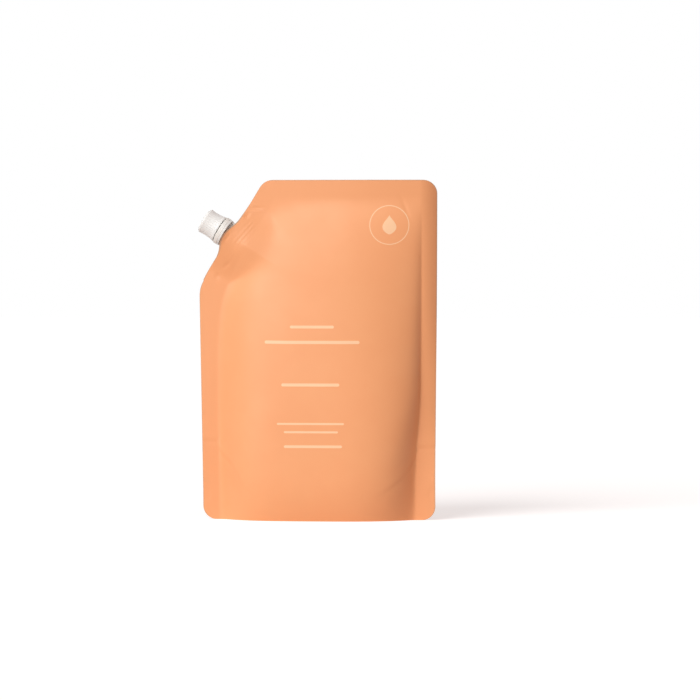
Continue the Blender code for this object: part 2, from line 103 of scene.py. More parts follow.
def smooth(value: np.ndarray, start: float, end: float) -> np.ndarray:
    """Ease from 0 at the start to 1 at the end.

    Args:
        value: Values to ease.
        start: Where the ease begins.
        end: Where it is complete; it may be less than the start.

    Returns:
        The eased share at each value.
    """
    share = np.clip((value - start) / (end - start), 0, 1)
    return share * share * (3 - 2 * share)


def spaced(start: float, end: float, step: float) -> np.ndarray:
    """Evenly spaced values of about one step, from the start up to but not at the end."""
    return np.linspace(start, end, max(1, round((end - start) / step)), endpoint=False)


def add_grid(shape: bmesh.types.BMesh, points: np.ndarray) -> list[Row]:
    """Add a grid of vertices to a mesh, from points in millimetres."""
    return [[shape.verts.new(point) for point in row] for row in (points * MM).tolist()]


def skin(shape: bmesh.types.BMesh, rows: Sequence[Row], closed: bool = False) -> None:
    """Join neighbouring rows of vertices with quads.

    Args:
        shape: The mesh that has the vertices.
        rows: The rows, all of one length.
        closed: Whether each row's last vertex joins its first.
    """
    for lower, upper in zip(rows, rows[1:]):
        for i in range(int(not closed), len(lower)):
            shape.faces.new((lower[i - 1], lower[i], upper[i], upper[i - 1]))


def mesh_piece(name: str, shape: bmesh.types.BMesh, body: str) -> bpy.types.Object:
    """Make a smooth-shaded piece that rides on a body.

    Args:
        name: The piece's name.
        shape: Its mesh in metres, which is freed.
        body: The body that carries it.

    Returns:
        The new object.
    """
    mesh = bpy.data.meshes.new(name)
    shape.to_mesh(mesh)
    shape.free()
    mesh.shade_smooth()
    mesh.set_sharp_from_angle(angle=SHARP_EDGE)
    piece = bpy.data.objects.new(name, mesh)
    bpy.context.scene.collection.objects.link(piece)
    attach(piece, body)
    return piece


def combine(piece: bpy.types.Object, tool: bpy.types.Object, joining: Joining) -> None:
    """Join a tool to a piece, or cut it away, and drop the tool.

    Args:
        piece: The piece that is changed.
        tool: A closed object that is removed afterwards.
        joining: Whether the tool is added or cut away.
    """
    modifier = piece.modifiers.new(tool.name, "BOOLEAN")
    modifier.object = tool
    modifier.operation = joining.value
    modifier.solver = "EXACT"
    graph = bpy.context.evaluated_depsgraph_get()
    mesh = bpy.data.meshes.new_from_object(piece.evaluated_get(graph))
    piece.modifiers.clear()
    shape = bmesh.new()
    shape.from_mesh(mesh)
    bmesh.ops.remove_doubles(shape, verts=shape.verts, dist=SLIVER)
    bmesh.ops.dissolve_degenerate(shape, edges=shape.edges, dist=SLIVER)
    shape.to_mesh(mesh)
    shape.free()
    piece.data = mesh
    bpy.data.objects.remove(tool)


class Tree:
    """A shader node tree that is built node by node."""

    def __init__(self, tree: bpy.types.NodeTree) -> None:
        """Start on an empty tree."""
        self.tree = tree
        tree.nodes.clear()

    def add(self, kind: str, inputs: dict[str | int, object] | None = None, **settings: object) -> Node:
        """Add a node.

        Args:
            kind: The node's type without its ShaderNode prefix.
            inputs: Values or sockets for its inputs, by name or number.
            settings: Values for its other properties.

        Returns:
            The new node.
        """
        node = self.tree.nodes.new("ShaderNode" + kind)
        for name, value in settings.items():
            setattr(node, name, value)
        for name, value in (inputs or {}).items():
            if isinstance(value, Socket):
                self.tree.links.new(value, node.inputs[name])
            else:
                node.inputs[name].default_value = value
        return node

    def noise(self, place: Socket, scale: Socket | float, detail: float, twist: float = 0.0) -> Socket:
        """Add a noise texture with the given scale, detail and distortion, and give its value."""
        inputs = {"Vector": place, "Scale": scale, "Detail": detail, "Distortion": twist}
        return self.add("TexNoise", inputs).outputs["Fac"]

    def math(self, operation: str, first: Socket | float, second: Socket | float = 0.0) -> Socket:
        """Add a Math node and give its result."""
        return self.add("Math", {0: first, 1: second}, operation=operation).outputs[0]

    def ramp(self, value: Socket, low: float, high: float, out: tuple[float, float] = (0, 1)) -> Socket:
        """Map a value smoothly from low..high to the two output values."""
        inputs = {"Value": value, "From Min": low, "From Max": high, "To Min": out[0], "To Max": out[1]}
        return self.add("MapRange", inputs, interpolation_type="SMOOTHSTEP").outputs[0]

    def tint(self, share: Socket, low: Socket | Colour, high: Socket | Colour) -> Socket:
        """Mix two colours.

        Args:
            share: How much of the second colour there is.
            low: The colour at 0.
            high: The colour at 1.

        Returns:
            The mixed colour.
        """
        ends = {MIX_LOW: low, MIX_HIGH: high}
        inputs = {place: end if isinstance(end, Socket) else (*end, 1) for place, end in ends.items()}
        return self.add("Mix", {MIX_SHARE: share, **inputs}, data_type="RGBA").outputs[MIX_COLOUR]

    def dress(self, inputs: dict[str | int, object]) -> None:
        """End a material with the Principled shader and its output."""
        shader = self.add("BsdfPrincipled", inputs)
        self.add("OutputMaterial", {"Surface": shader.outputs[0]})


def new_material(name: str) -> tuple[bpy.types.Material, Tree]:
    """Make a material without nodes.

    Args:
        name: The material's name.

    Returns:
        The material and its tree.
    """
    made = bpy.data.materials.new(name)
    made.use_nodes = True
    return made, Tree(made.node_tree)


def new_group(name: str, inputs: dict[str, float], outputs: Sequence[str]) -> tuple[Tree, Node, Node]:
    """Make a shader node group of float sockets.

    Args:
        name: The group's name.
        inputs: Default values by input name.
        outputs: Output names.

    Returns:
        The group's tree, its input node and its output node.
    """
    group = bpy.data.node_groups.new(name, "ShaderNodeTree")
    for title, value in inputs.items():
        socket = group.interface.new_socket(title, in_out="INPUT", socket_type="NodeSocketFloat")
        socket.default_value = value
    for title in outputs:
        group.interface.new_socket(title, in_out="OUTPUT", socket_type="NodeSocketFloat")
    tree = Tree(group)
    start = group.nodes.new("NodeGroupInput")
    end = group.nodes.new("NodeGroupOutput")
    return tree, start, end


def film_surface_group() -> bpy.types.NodeTree:
    """Build the group for matt laminate: fine grain, soft crinkles and broad mottling.

    Returns:
        A node group with the values Height (mm) and Mottle (0 to 1).
    """
    inputs = {"Grain Depth": 0.004, "Crinkle Depth": 0.05, "Crinkle Size": 9.0}
    tree, start, end = new_group("film_surface", inputs, ("Height", "Mottle"))
    place = tree.add("TexCoord").outputs["Object"]
    grain = tree.noise(place, scale=2600, detail=2)
    scale = tree.math("DIVIDE", 1 / MM, start.outputs["Crinkle Size"])
    crinkle = tree.noise(place, scale, detail=2.5, twist=0.6)
    broad = tree.noise(place, scale=34, detail=3)
    fine = tree.math("MULTIPLY", grain, start.outputs["Grain Depth"])
    soft = tree.math("MULTIPLY", crinkle, start.outputs["Crinkle Depth"])
    links = tree.tree.links
    links.new(tree.math("ADD", fine, soft), end.inputs["Height"])
    links.new(tree.ramp(broad, *MOTTLED), end.inputs["Mottle"])
    return tree.tree


def moulded_surface_group() -> bpy.types.NodeTree:
    """Build the group for satin mouldings: spark-eroded grain, flow mottling and handling marks.

    Returns:
        A node group with the values Height (mm), Mottle (0 to 1) and Rubbed (0 to 1).
    """
    inputs = {"Grain Size": 0.25, "Grain Depth": 0.006}
    tree, start, end = new_group("moulded_surface", inputs, ("Height", "Mottle", "Rubbed"))
    place = tree.add("TexCoord").outputs["Object"]
    scale = tree.math("DIVIDE", 1 / MM, start.outputs["Grain Size"])
    grain = tree.noise(place, scale, detail=2)
    flow = tree.noise(place, scale=160, detail=2, twist=1.2)
    marks = tree.noise(place, scale=620, detail=4)
    links = tree.tree.links
    height = tree.math("MULTIPLY", grain, start.outputs["Grain Depth"])
    links.new(height, end.inputs["Height"])
    links.new(tree.ramp(flow, *MOTTLED), end.inputs["Mottle"])
    links.new(tree.ramp(marks, *RUBBED), end.inputs["Rubbed"])
    return tree.tree


@dataclass(frozen=True)
class FilmFinish:
    """Matt printed laminate."""

    name: str
    colour: Colour
    mottled: Colour
    # seal: painted shade, a slightly darker colour given to the welded margins
    seal_shade: Colour
    # edge: painted shade, a darker colour along the cut edges that stands in for the shadow at the film's
    # rim
    edge: Colour
    roughness: float = 0.5
    smoother: float = 0.03
    rougher: float = 0.04
    gloss: float = 0.5
    grain_depth: float = 0.004
    crinkle_depth: float = 0.05
    crinkle_size: float = 9.0

    def material(self, group: bpy.types.NodeTree) -> bpy.types.Material:
        """Build the material.

        Args:
            group: The film surface group.

        Returns:
            The material.
        """
        made, tree = new_material(self.name)
        depths = {
            "Grain Depth": self.grain_depth,
            "Crinkle Depth": self.crinkle_depth,
            "Crinkle Size": self.crinkle_size,
        }
        surface = tree.add("Group", depths, node_tree=group)
        mottle = surface.outputs["Mottle"]
        # The weld mask darkens the welded margins towards the seal colour: painted shade.
        welded = tree.add("Attribute", attribute_name="weld").outputs["Fac"]
        body = tree.tint(mottle, self.colour, self.mottled)
        # The edge_shade mask darkens the film's outline to the edge colour: painted shade along the rim.
        edge = tree.add("Attribute", attribute_name="edge_shade").outputs["Fac"]
        roughness = tree.ramp(mottle, 0, 1, (self.roughness - self.smoother, self.roughness + self.rougher))
        relief = tree.add("Bump", {"Height": surface.outputs["Height"], "Distance": MM})
        inputs = {
            "Base Color": tree.tint(edge, tree.tint(welded, body, self.seal_shade), self.edge),
            "Roughness": roughness,
            "Specular IOR Level": self.gloss,
            "Normal": relief.outputs["Normal"],
        }
        tree.dress(inputs)
        return made


@dataclass(frozen=True)
class MouldedFinish:
    """Satin injection-moulded plastic."""

    name: str
    colour: Colour
    mottled: Colour
    roughness: float = 0.38
    polish: float = 0.08
    grain_size: float = 0.3
    grain_depth: float = 0.0015

    def material(self, group: bpy.types.NodeTree) -> bpy.types.Material:
        """Build the material.

        Args:
            group: The moulded surface group.

        Returns:
            The material.
        """
        made, tree = new_material(self.name)
        grain = {"Grain Size": self.grain_size, "Grain Depth": self.grain_depth}
        surface = tree.add("Group", grain, node_tree=group)
        relief = tree.add("Bump", {"Height": surface.outputs["Height"], "Distance": MM})
        ends = (self.roughness, self.roughness - self.polish)
        inputs = {
            "Base Color": tree.tint(surface.outputs["Mottle"], self.colour, self.mottled),
            "Roughness": tree.ramp(surface.outputs["Rubbed"], 0, 1, ends),
            "Normal": relief.outputs["Normal"],
        }
        tree.dress(inputs)
        return made


@dataclass(frozen=True)
class BoatSize:
    """Sizes of a block that is pointed at both ends, such as the spout's base."""

    half_length: float = 15.5
    half_thickness: float = 5.6
    tip: float = 0.3

    def thickness(self, share: np.ndarray) -> np.ndarray:
        """Half thickness at shares of the half length."""
        return (self.half_thickness - self.tip) * (1 - share**2) + self.tip


@dataclass(frozen=True)
class Dent:
    """A long soft dent or ridge of the film, placed from the spout's axis along the cut."""

    along: float
    inset: float
    turn: float
    length: float
    width: float
    rise: float

    def relief(self, along: np.ndarray, depth: np.ndarray) -> np.ndarray:
        """Find how far the film stands out.

        Args:
            along: Places along the cut.
            depth: Depths inside it.

        Returns:
            The relief at each place, negative where the film is drawn in.
        """
        cos, sin = math.cos(math.radians(self.turn)), math.sin(math.radians(self.turn))
        run = (along - self.along) * cos + (depth - self.inset) * sin
        off = (depth - self.inset) * cos - (along - self.along) * sin
        return self.rise * bump(run, self.length) * bump(off, self.width)


@dataclass
class BagForm:
    """Sizes of the filled bag, and where its two films lie.

    Both films bulge from one welded plane. Shares run across the belly from -1 at the left weld
    to 1 at the right, and depths inside the cut corner run inwards from its straight line.

    Attributes:
        side_draw: How far the full belly draws each side in.
        left_taper: How far the left side comes in towards the ground, from taper_top down.
        cut_foot_radius: Radius of the bend where the cut meets the left side.
        crest: How far outside the straight cut the heights on the spout's axis start.
        tab_up, tab_down: How far the tab reaches along the cut from the spout's axis.
        shoulder: Height of the low swell of the edge below the tab.
        flare: How far the film's mouth stands open over the spout.
        belly, base_depth: Half the depth at belly_height and at the ground.
        taper, flank, left_boxy, right_boxy: Powers that shape the belly upwards and across.
        left_ease, right_ease, top_ease: How softly the belly leaves its welds.
        lean: How far the cut corner leans back, within lean_reach of the cut.
        curl, fin_slope: How the right side curls back, and its margin more so.
        fold_inset: How far the gusset's fold draws the right weld in near the ground.
        gusset_top, gusset_foot: Heights of the arched weld at the sides and in the middle.
        boat_room, boat_clearance: Room between the boat-shaped base and the film, and a little more.
        tent_margin, tent_length, tent_power: How the film's tent over the base dies away.
        rib_depths, rib_marks: Where the base's ribs show in the film, and how high.
        dents: Soft dents and ridges round the spout.
        tack_depth: How deep the half-moon tacks on the side welds are pressed.
        seam_relief, seam_kick: Relief of the gusset's weld, and its rise at the left.
        roll_rise, roll_width: Place and width of the soft roll of film over that weld.
        pucker_depth: How deep the short pucker in the upper right corner is.
    """

    width: float = 139.5
    side_draw: float = 0.5
    left_taper: float = 2.3
    taper_top: float = 130.0
    foot_inset: float = 0.25
    height: float = 199.0
    corner: float = 8.0
    cut_drop: float = 63.0
    cut_slant: float = CUT_SLANT
    cut_foot_radius: float = 17.0
    cut_head_radius: float = 9.0
    crest: float = 3.7
    tab_rise: float = 3.1
    tab_up: float = 11.2
    tab_down: float = 15.5
    shoulder: float = 0.85
    shoulder_place: float = -23.0
    shoulder_reach: float = 16.0
    flare: float = 1.4
    flare_depth: float = 1.5
    flare_ends: tuple[float, float] = (12.0, 4.0)
    film: float = 0.25
    side_weld: float = 8.5
    top_weld: float = 10.0
    cut_weld: float = 10.0
    least_weld: float = 0.6
    belly: float = 20.0
    belly_height: float = 32.0
    base_depth: float = 15.2
    taper: float = 1.9
    flank: float = 0.65
    base_flank: float = 1.1
    left_boxy: float = 2.4
    left_boxy_low: float = 1.0
    right_boxy: float = 1.7
    right_boxy_low: float = 1.6
    boxy_heights: tuple[float, float] = (140.0, 50.0)
    left_ease: float = 8.0
    left_ease_high: float = 2.0
    right_ease: float = 1.2
    right_ease_low: float = 3.0
    top_ease: float = 8.0
    ease_heights: tuple[float, float] = (30.0, 110.0)
    ease_power: float = 1.4
    lean: float = math.radians(4)
    lean_reach: float = 60.0
    lean_bend: float = 40.0
    curl_start: float = 18.0
    curl: float = 0.0016
    curl_foot: float = 0.35
    curl_heights: tuple[float, float] = (20.0, 130.0)
    fin_start: float = 60.0
    fin_slope: float = 0.46
    fin_reach: float = 10.0
    fin_upper: float = 0.6
    fin_heights: tuple[float, float] = (20.0, 75.0)
    fin_upper_heights: tuple[float, float] = (70.0, 130.0)
    fold_inset: float = 3.0
    fold_heights: tuple[float, float] = (80.0, 20.0)
    gusset_top: float = 42.0
    gusset_foot: float = 6.0
    boat: BoatSize = BoatSize()
    boat_inset: float = 4.3
    boat_height: float = 10.0
    boat_room: float = 0.55
    boat_clearance: float = 0.3
    pocket_run: float = 2.4
    tent_margin: float = 9.0
    tent_length: float = 60.0
    tent_power: float = 1.6
    spout_along: float = 35.2
    rib_depths: tuple[float, ...] = (2.6, 4.9, 7.2, 9.5)
    rib_marks: tuple[float, ...] = (0.04, 0.13, 0.13, 0.05)
    rib_slant: float = 0.15
    rib_width: float = 0.5
    rib_fade: float = 4.0
    rib_dim: tuple[float, float] = (-5.0, 1.0)
    ridge: float = 0.9
    ridge_start: tuple[float, float] = (5.0, 13.0)
    ridge_end: tuple[float, float] = (48.0, 16.0)
    ridge_width: float = 4.2
    dents: tuple[Dent, ...] = (
        Dent(22.0, 4.8, 59.0, 3.2, 0.8, -0.26),
        Dent(20.4, 5.8, 59.0, 3.0, 1.1, 0.14),
        Dent(15.3, 2.6, 20.0, 1.5, 1.0, -0.36),
        Dent(-1.5, -0.1, 6.0, 2.4, 0.5, -0.26),
        Dent(-16.4, 7.2, 14.0, 3.4, 1.1, -0.36),
        Dent(-18.2, 7.0, 14.0, 3.0, 1.1, 0.22),
        Dent(-23.9, 5.6, 0.0, 1.7, 1.5, -0.26),
    )
    tack_height: float = 14.5
    tack_radius: float = 4.7
    tack_edge: float = 0.3
    tack_depth: float = 0.12
    seam_relief: float = 0.2
    seam_width: float = 1.2
    seam_fade: float = 10.0
    seam_shares: tuple[float, float] = (0.5, 0.85)
    roll_rise: float = 3.2
    roll_width: float = 2.4
    seam_kick: float = 9.0
    seam_kick_place: float = -0.87
    seam_kick_width: float = 0.14
    pucker_depth: float = 0.3
    pucker_place: tuple[float, float] = (51.5, 183.0)

    def __post_init__(self) -> None:
        """Place the cut corner's foot and the spout's middle on it."""
        self.foot = np.array([self.foot_inset - self.width / 2, self.height - self.cut_drop])
        self.up = np.array([math.sin(self.cut_slant), math.cos(self.cut_slant)])
        self.middle = self.foot + self.up * self.spout_along

    def cut_line(self, z: np.ndarray) -> np.ndarray:
        """Where the straight cut is at each height."""
        return self.foot[0] + (z - self.foot[1]) * math.tan(self.cut_slant)

    def on_cut(self, x: np.ndarray, z: np.ndarray) -> Places:
        """Turn places on the bag into places on its cut corner.

        Args:
            x: Places across the bag.
            z: Heights.

        Returns:
            Places along the cut from the spout's axis, and depths inside the straight cut.
        """
        run = x - self.middle[0]
        rise = z - self.middle[1]
        return run * self.up[0] + rise * self.up[1], run * self.up[1] - rise * self.up[0]

    def belly_depth(self, z: np.ndarray) -> np.ndarray:
        """Find how deep the filled bag is.

        Args:
            z: Heights.

        Returns:
            Half the depth at the middle of each height.
        """
        drop = np.clip(1 - z / self.belly_height, 0, 1)
        rise = np.clip((z - self.belly_height) / (self.height - self.top_weld - self.belly_height), 0, 1)
        low = self.belly - (self.belly - self.base_depth) * drop**3
        return np.where(z < self.belly_height, low, self.belly * (1 - rise**self.taper))

    def side_edge(self, z: np.ndarray) -> np.ndarray:
        """Half the bag's width at each height, drawn in where the belly is full."""
        return self.width / 2 - self.side_draw * (self.belly_depth(z) / self.belly) ** 2

    def left_side(self, z: np.ndarray) -> np.ndarray:
        """The straight left edge at each height, which tapers in towards the ground."""
        return self.left_taper * np.clip(1 - z / self.taper_top, 0, 1) - self.side_edge(z)

    def tab(self, along: np.ndarray) -> np.ndarray:
        """Find how far the film's edge stands out from the straight cut, over the spout and below it.

        Args:
            along: Places along the cut.

        Returns:
            The height of tab and shoulder at each place.
        """
        reach = np.clip(np.where(along > 0, along / self.tab_up, -along / self.tab_down), 0, 1)
        below = np.clip(np.abs(along - self.shoulder_place) / self.shoulder_reach, 0, 1)
        tab = self.tab_rise * np.cos(math.pi / 2 * reach) ** 2
        return tab + self.shoulder * np.cos(math.pi / 2 * below) ** 2

    def left_edge(self, z: np.ndarray) -> np.ndarray:
        """Find the left edge: round corner, side, bend, cut with the spout's tab, round head.

        Args:
            z: Heights.

        Returns:
            The edge's place across the bag at each height.
        """
        side = self.left_side(z)
        slant = self.cut_slant
        foot, head = self.cut_foot_radius, self.cut_head_radius
        foot_run = foot * math.tan(slant / 2)
        head_run = head * math.tan((math.pi / 2 - slant) / 2)
        head_start = self.height - head_run * math.cos(slant)
        corner = np.clip(self.corner - z, 0, None)
        low = side + self.corner - np.sqrt(np.clip(self.corner**2 - corner**2, 0, None))
        rise = np.clip(z - (self.foot[1] - foot_run), 0, foot)
        bend = side + foot - np.sqrt(foot**2 - rise**2)
        centre = self.cut_line(np.float64(head_start)) + head * math.cos(slant)
        over = np.clip(z - (self.height - head), 0, head)
        top = centre - np.sqrt(head**2 - over**2)
        tab = self.tab(self.on_cut(self.cut_line(z), z)[0])
        straight = self.cut_line(z) - tab / math.cos(slant)
        bend_end = self.foot[1] + foot_run * math.cos(slant)
        upper = np.where(z > head_start, top, np.where(z < bend_end, bend, straight))
        return np.where(z < self.foot[1] - foot_run, low, upper)

    def right_edge(self, z: np.ndarray) -> np.ndarray:
        """The right edge at each height, with its two round corners."""
        corner = np.clip(np.maximum(self.corner - z, z - (self.height - self.corner)), 0, self.corner)
        return self.side_edge(z) - self.corner + np.sqrt(self.corner**2 - corner**2)

    def belly_limits(self, z: np.ndarray) -> Places:
        """Find the inner lines of the side welds.

        Args:
            z: Heights.

        Returns:
            The left line and the right line at each height.
        """
        side = self.side_weld + self.left_side(z)
        cut = self.cut_line(z) + self.cut_weld / math.cos(self.cut_slant)
        left = (side + cut + np.hypot(side - cut, self.cut_weld)) / 2
        right = self.side_edge(z) - self.side_weld - self.fold_inset * smooth(z, *self.fold_heights)
        least = self.least_weld
        return np.maximum(left, self.left_edge(z) + least), np.minimum(right, self.right_edge(z) - least)

    def pocket(self, along: np.ndarray) -> np.ndarray:
        """Find the room that the film leaves round the boat-shaped base.

        Args:
            along: Places along the cut.

        Returns:
            Half the room's thickness at each place.
        """
        length = self.boat.half_length
        share = np.clip(np.abs(along) / (length + self.boat_room), 0, 1)
        closing = smooth(np.abs(along), length + self.pocket_run, length + self.boat_room)
        return (self.boat.thickness(share) + self.boat_room) * closing

    def relief(self, x: np.ndarray, z: np.ndarray) -> np.ndarray:
        """Find how far the film stands out over the spout's base, dying away inwards as a tent.

        Args:
            x: Places across the bag.
            z: Heights.

        Returns:
            The relief at each place.
        """
        along, depth = self.on_cut(x, z)
        rise = self.boat.half_thickness + self.boat_room + self.boat_clearance - self.film
        start = self.boat_height + self.boat_inset - self.crest + self.boat_clearance
        fade = np.clip((depth - start) / self.tent_length, 0, 1)
        half_length = (self.boat.half_length + self.tent_margin) * (1 + 0.5 * fade)
        across = np.clip(1 - (along / half_length) ** 2, 0, None) ** 2
        opened = np.exp(-np.clip(depth + self.tab_rise, 0, None) / self.flare_depth)
        flare = self.flare * opened * smooth(np.abs(along), *self.flare_ends)
        return rise * across * (1 - fade**self.tent_power) + flare

    def spout_marks(self, along: np.ndarray, depth: np.ndarray) -> np.ndarray:
        """Find the relief that the spout leaves in the film: its ribs, a ridge and soft dents.

        Args:
            along: Places along the cut.
            depth: Depths inside it.

        Returns:
            How far the film stands out, or in where it is negative.
        """
        length = self.boat.half_length
        on_boat = smooth(np.abs(along), length, length - self.rib_fade)
        on_boat *= 0.3 + 0.7 * smooth(along, *self.rib_dim)
        out = np.zeros_like(along)
        for place, height in zip(self.rib_depths, self.rib_marks):
            line = place + self.rib_slant * np.clip(along, 0, None)
            out += height * bump(depth - line, self.rib_width) * on_boat
        ridge = smooth(depth, *self.ridge_start) * smooth(depth, *self.ridge_end)
        out += self.ridge * ridge * np.exp(-np.sqrt(along**2 + 0.4) / self.ridge_width)
        for dent in self.dents:
            out += dent.relief(along, depth)
        return out

    def detail(self, x: np.ndarray, z: np.ndarray, side: Side) -> np.ndarray:
        """Find the small relief of a film: spout marks, tacks, the gusset's weld line, a pucker.

        Args:
            x: Places across the bag.
            z: Heights.
            side: Front or back film.

        Returns:
            How far the film stands out, or in where it is negative.
        """
        out = self.spout_marks(*self.on_cut(x, z))
        out -= self.tack_depth * self.tack_mask(x, z)
        share = self.share(x, z)
        kick = bump(share - self.seam_kick_place, self.seam_kick_width)
        line = self.gusset_weld(share) + self.seam_kick * kick
        low = smooth(z, self.gusset_top + self.seam_fade, self.gusset_top)
        low *= smooth(np.abs(share), *self.seam_shares)
        out -= self.seam_relief * bump(z - line, self.seam_width) * low
        out += self.seam_relief * bump(z - line - self.roll_rise, self.roll_width) * low
        if side is Side.FRONT:
            run, rise = x - self.pucker_place[0], z - self.pucker_place[1]
            out -= self.pucker_depth * bump(run * 0.9 + rise * 0.35, 1.2) * bump(rise, 6)
        return out

    def tack_mask(self, x: np.ndarray, z: np.ndarray) -> np.ndarray:
        """Mask the half-moon tacks on the side welds.

        Args:
            x: Places across the bag.
            z: Heights.

        Returns:
            1 inside the tacks, 0 outside.
        """
        height = np.float64(self.tack_height)
        middle = np.where(x > 0, self.side_edge(height), self.left_side(height))
        distance = np.hypot(x - middle, z - self.tack_height)
        return smooth(distance, self.tack_radius + self.tack_edge, self.tack_radius - self.tack_edge)

    def share(self, x: np.ndarray, z: np.ndarray) -> np.ndarray:
        """Places across the belly from -1 to 1."""
        left, right = self.belly_limits(z)
        return np.clip((2 * x - left - right) / (right - left), -1, 1)

    def gusset_weld(self, share: np.ndarray) -> np.ndarray:
        """Height of the arched weld between skirt and gusset."""
        return self.gusset_foot + (self.gusset_top - self.gusset_foot) * (1 - np.sqrt(1 - share**2))

    def half_depth(self, x: np.ndarray, z: np.ndarray, side: Side) -> np.ndarray:
        """A film's distance from the welded plane.

        Args:
            x: Places across the bag.
            z: Heights.
            side: Front or back film.

        Returns:
            The outer face's distances.
        """
        share = self.share(x, z)
        left, right = self.belly_limits(z)
        low = np.clip(1 - z / self.gusset_top, 0, 1)
        flank = self.flank + (self.base_flank - self.flank) * low**2
        full = smooth(z, *self.boxy_heights) * np.where(share < 0, self.left_boxy_low, self.right_boxy_low)
        boxy = np.where(share < 0, self.left_boxy, self.right_boxy) + full
        belly = self.belly_depth(z) * (1 - np.abs(share) ** boxy) ** flank
        left_ease = self.left_ease + self.left_ease_high * smooth(z, *self.ease_heights)
        right_ease = self.right_ease + self.right_ease_low * smooth(z, *self.fold_heights)
        ease = np.where(share < 0, left_ease, right_ease)
        near = np.clip(np.minimum(x - left, right - x), 0, None) / ease
        belly *= 1 - np.exp(-near ** np.where(share < 0, self.ease_power, 1.0))
        below = np.clip(self.height - self.top_weld - z, 0, None) / self.top_ease
        belly *= 1 - np.exp(-(below**self.ease_power))
        body = (belly**4 + self.relief(x, z) ** 4) ** 0.25
        return self.film + body + self.detail(x, z, side)

    def plane(self, x: np.ndarray, z: np.ndarray) -> Places:
        """The welded plane, which leans back at the cut corner and curls back on the right.

        Args:
            x: Places across the bag.
            z: Heights.

        Returns:
            Points of the plane and its unit normals, with the coordinates last.
        """
        reach = np.clip(self.lean_reach - self.on_cut(x, z)[1], 0, None)
        bent = np.minimum(reach, self.lean_bend)
        slope = math.tan(self.lean) * bent / self.lean_bend
        back = math.tan(self.lean) * (bent**2 / (2 * self.lean_bend) + reach - bent)
        run = np.clip(x - self.curl_start, 0, None)
        risen = smooth(z, *self.curl_heights)
        curl = self.curl * (self.curl_foot + (1 - self.curl_foot) * risen)
        beyond = np.clip(x - self.fin_start, 0, None)
        turned = smooth(z, *self.fin_heights) + self.fin_upper * smooth(z, *self.fin_upper_heights)
        bend = self.fin_slope / self.fin_reach * turned
        points = np.stack([x, back + curl * run**2 + bend / 2 * beyond**2, z], axis=-1)
        across = slope * self.up[1] - 2 * curl * run - bend * beyond
        normals = np.stack([across, np.ones_like(x), -slope * self.up[0]], axis=-1)
        return points, normals / np.linalg.norm(normals, axis=-1, keepdims=True)

    def film_points(self, x: np.ndarray, z: np.ndarray, side: Side, proud: float = 0.0) -> np.ndarray:
        """Points on a film's outer face.

        Args:
            x: Places across the bag.
            z: Heights.
            side: Front or back film.
            proud: How far outside the film.

        Returns:
            The points, with the coordinates last.
        """
        points, normals = self.plane(x, z)
        reach = side.value * (self.half_depth(x, z, side) + proud)
        return points + normals * reach[..., None]


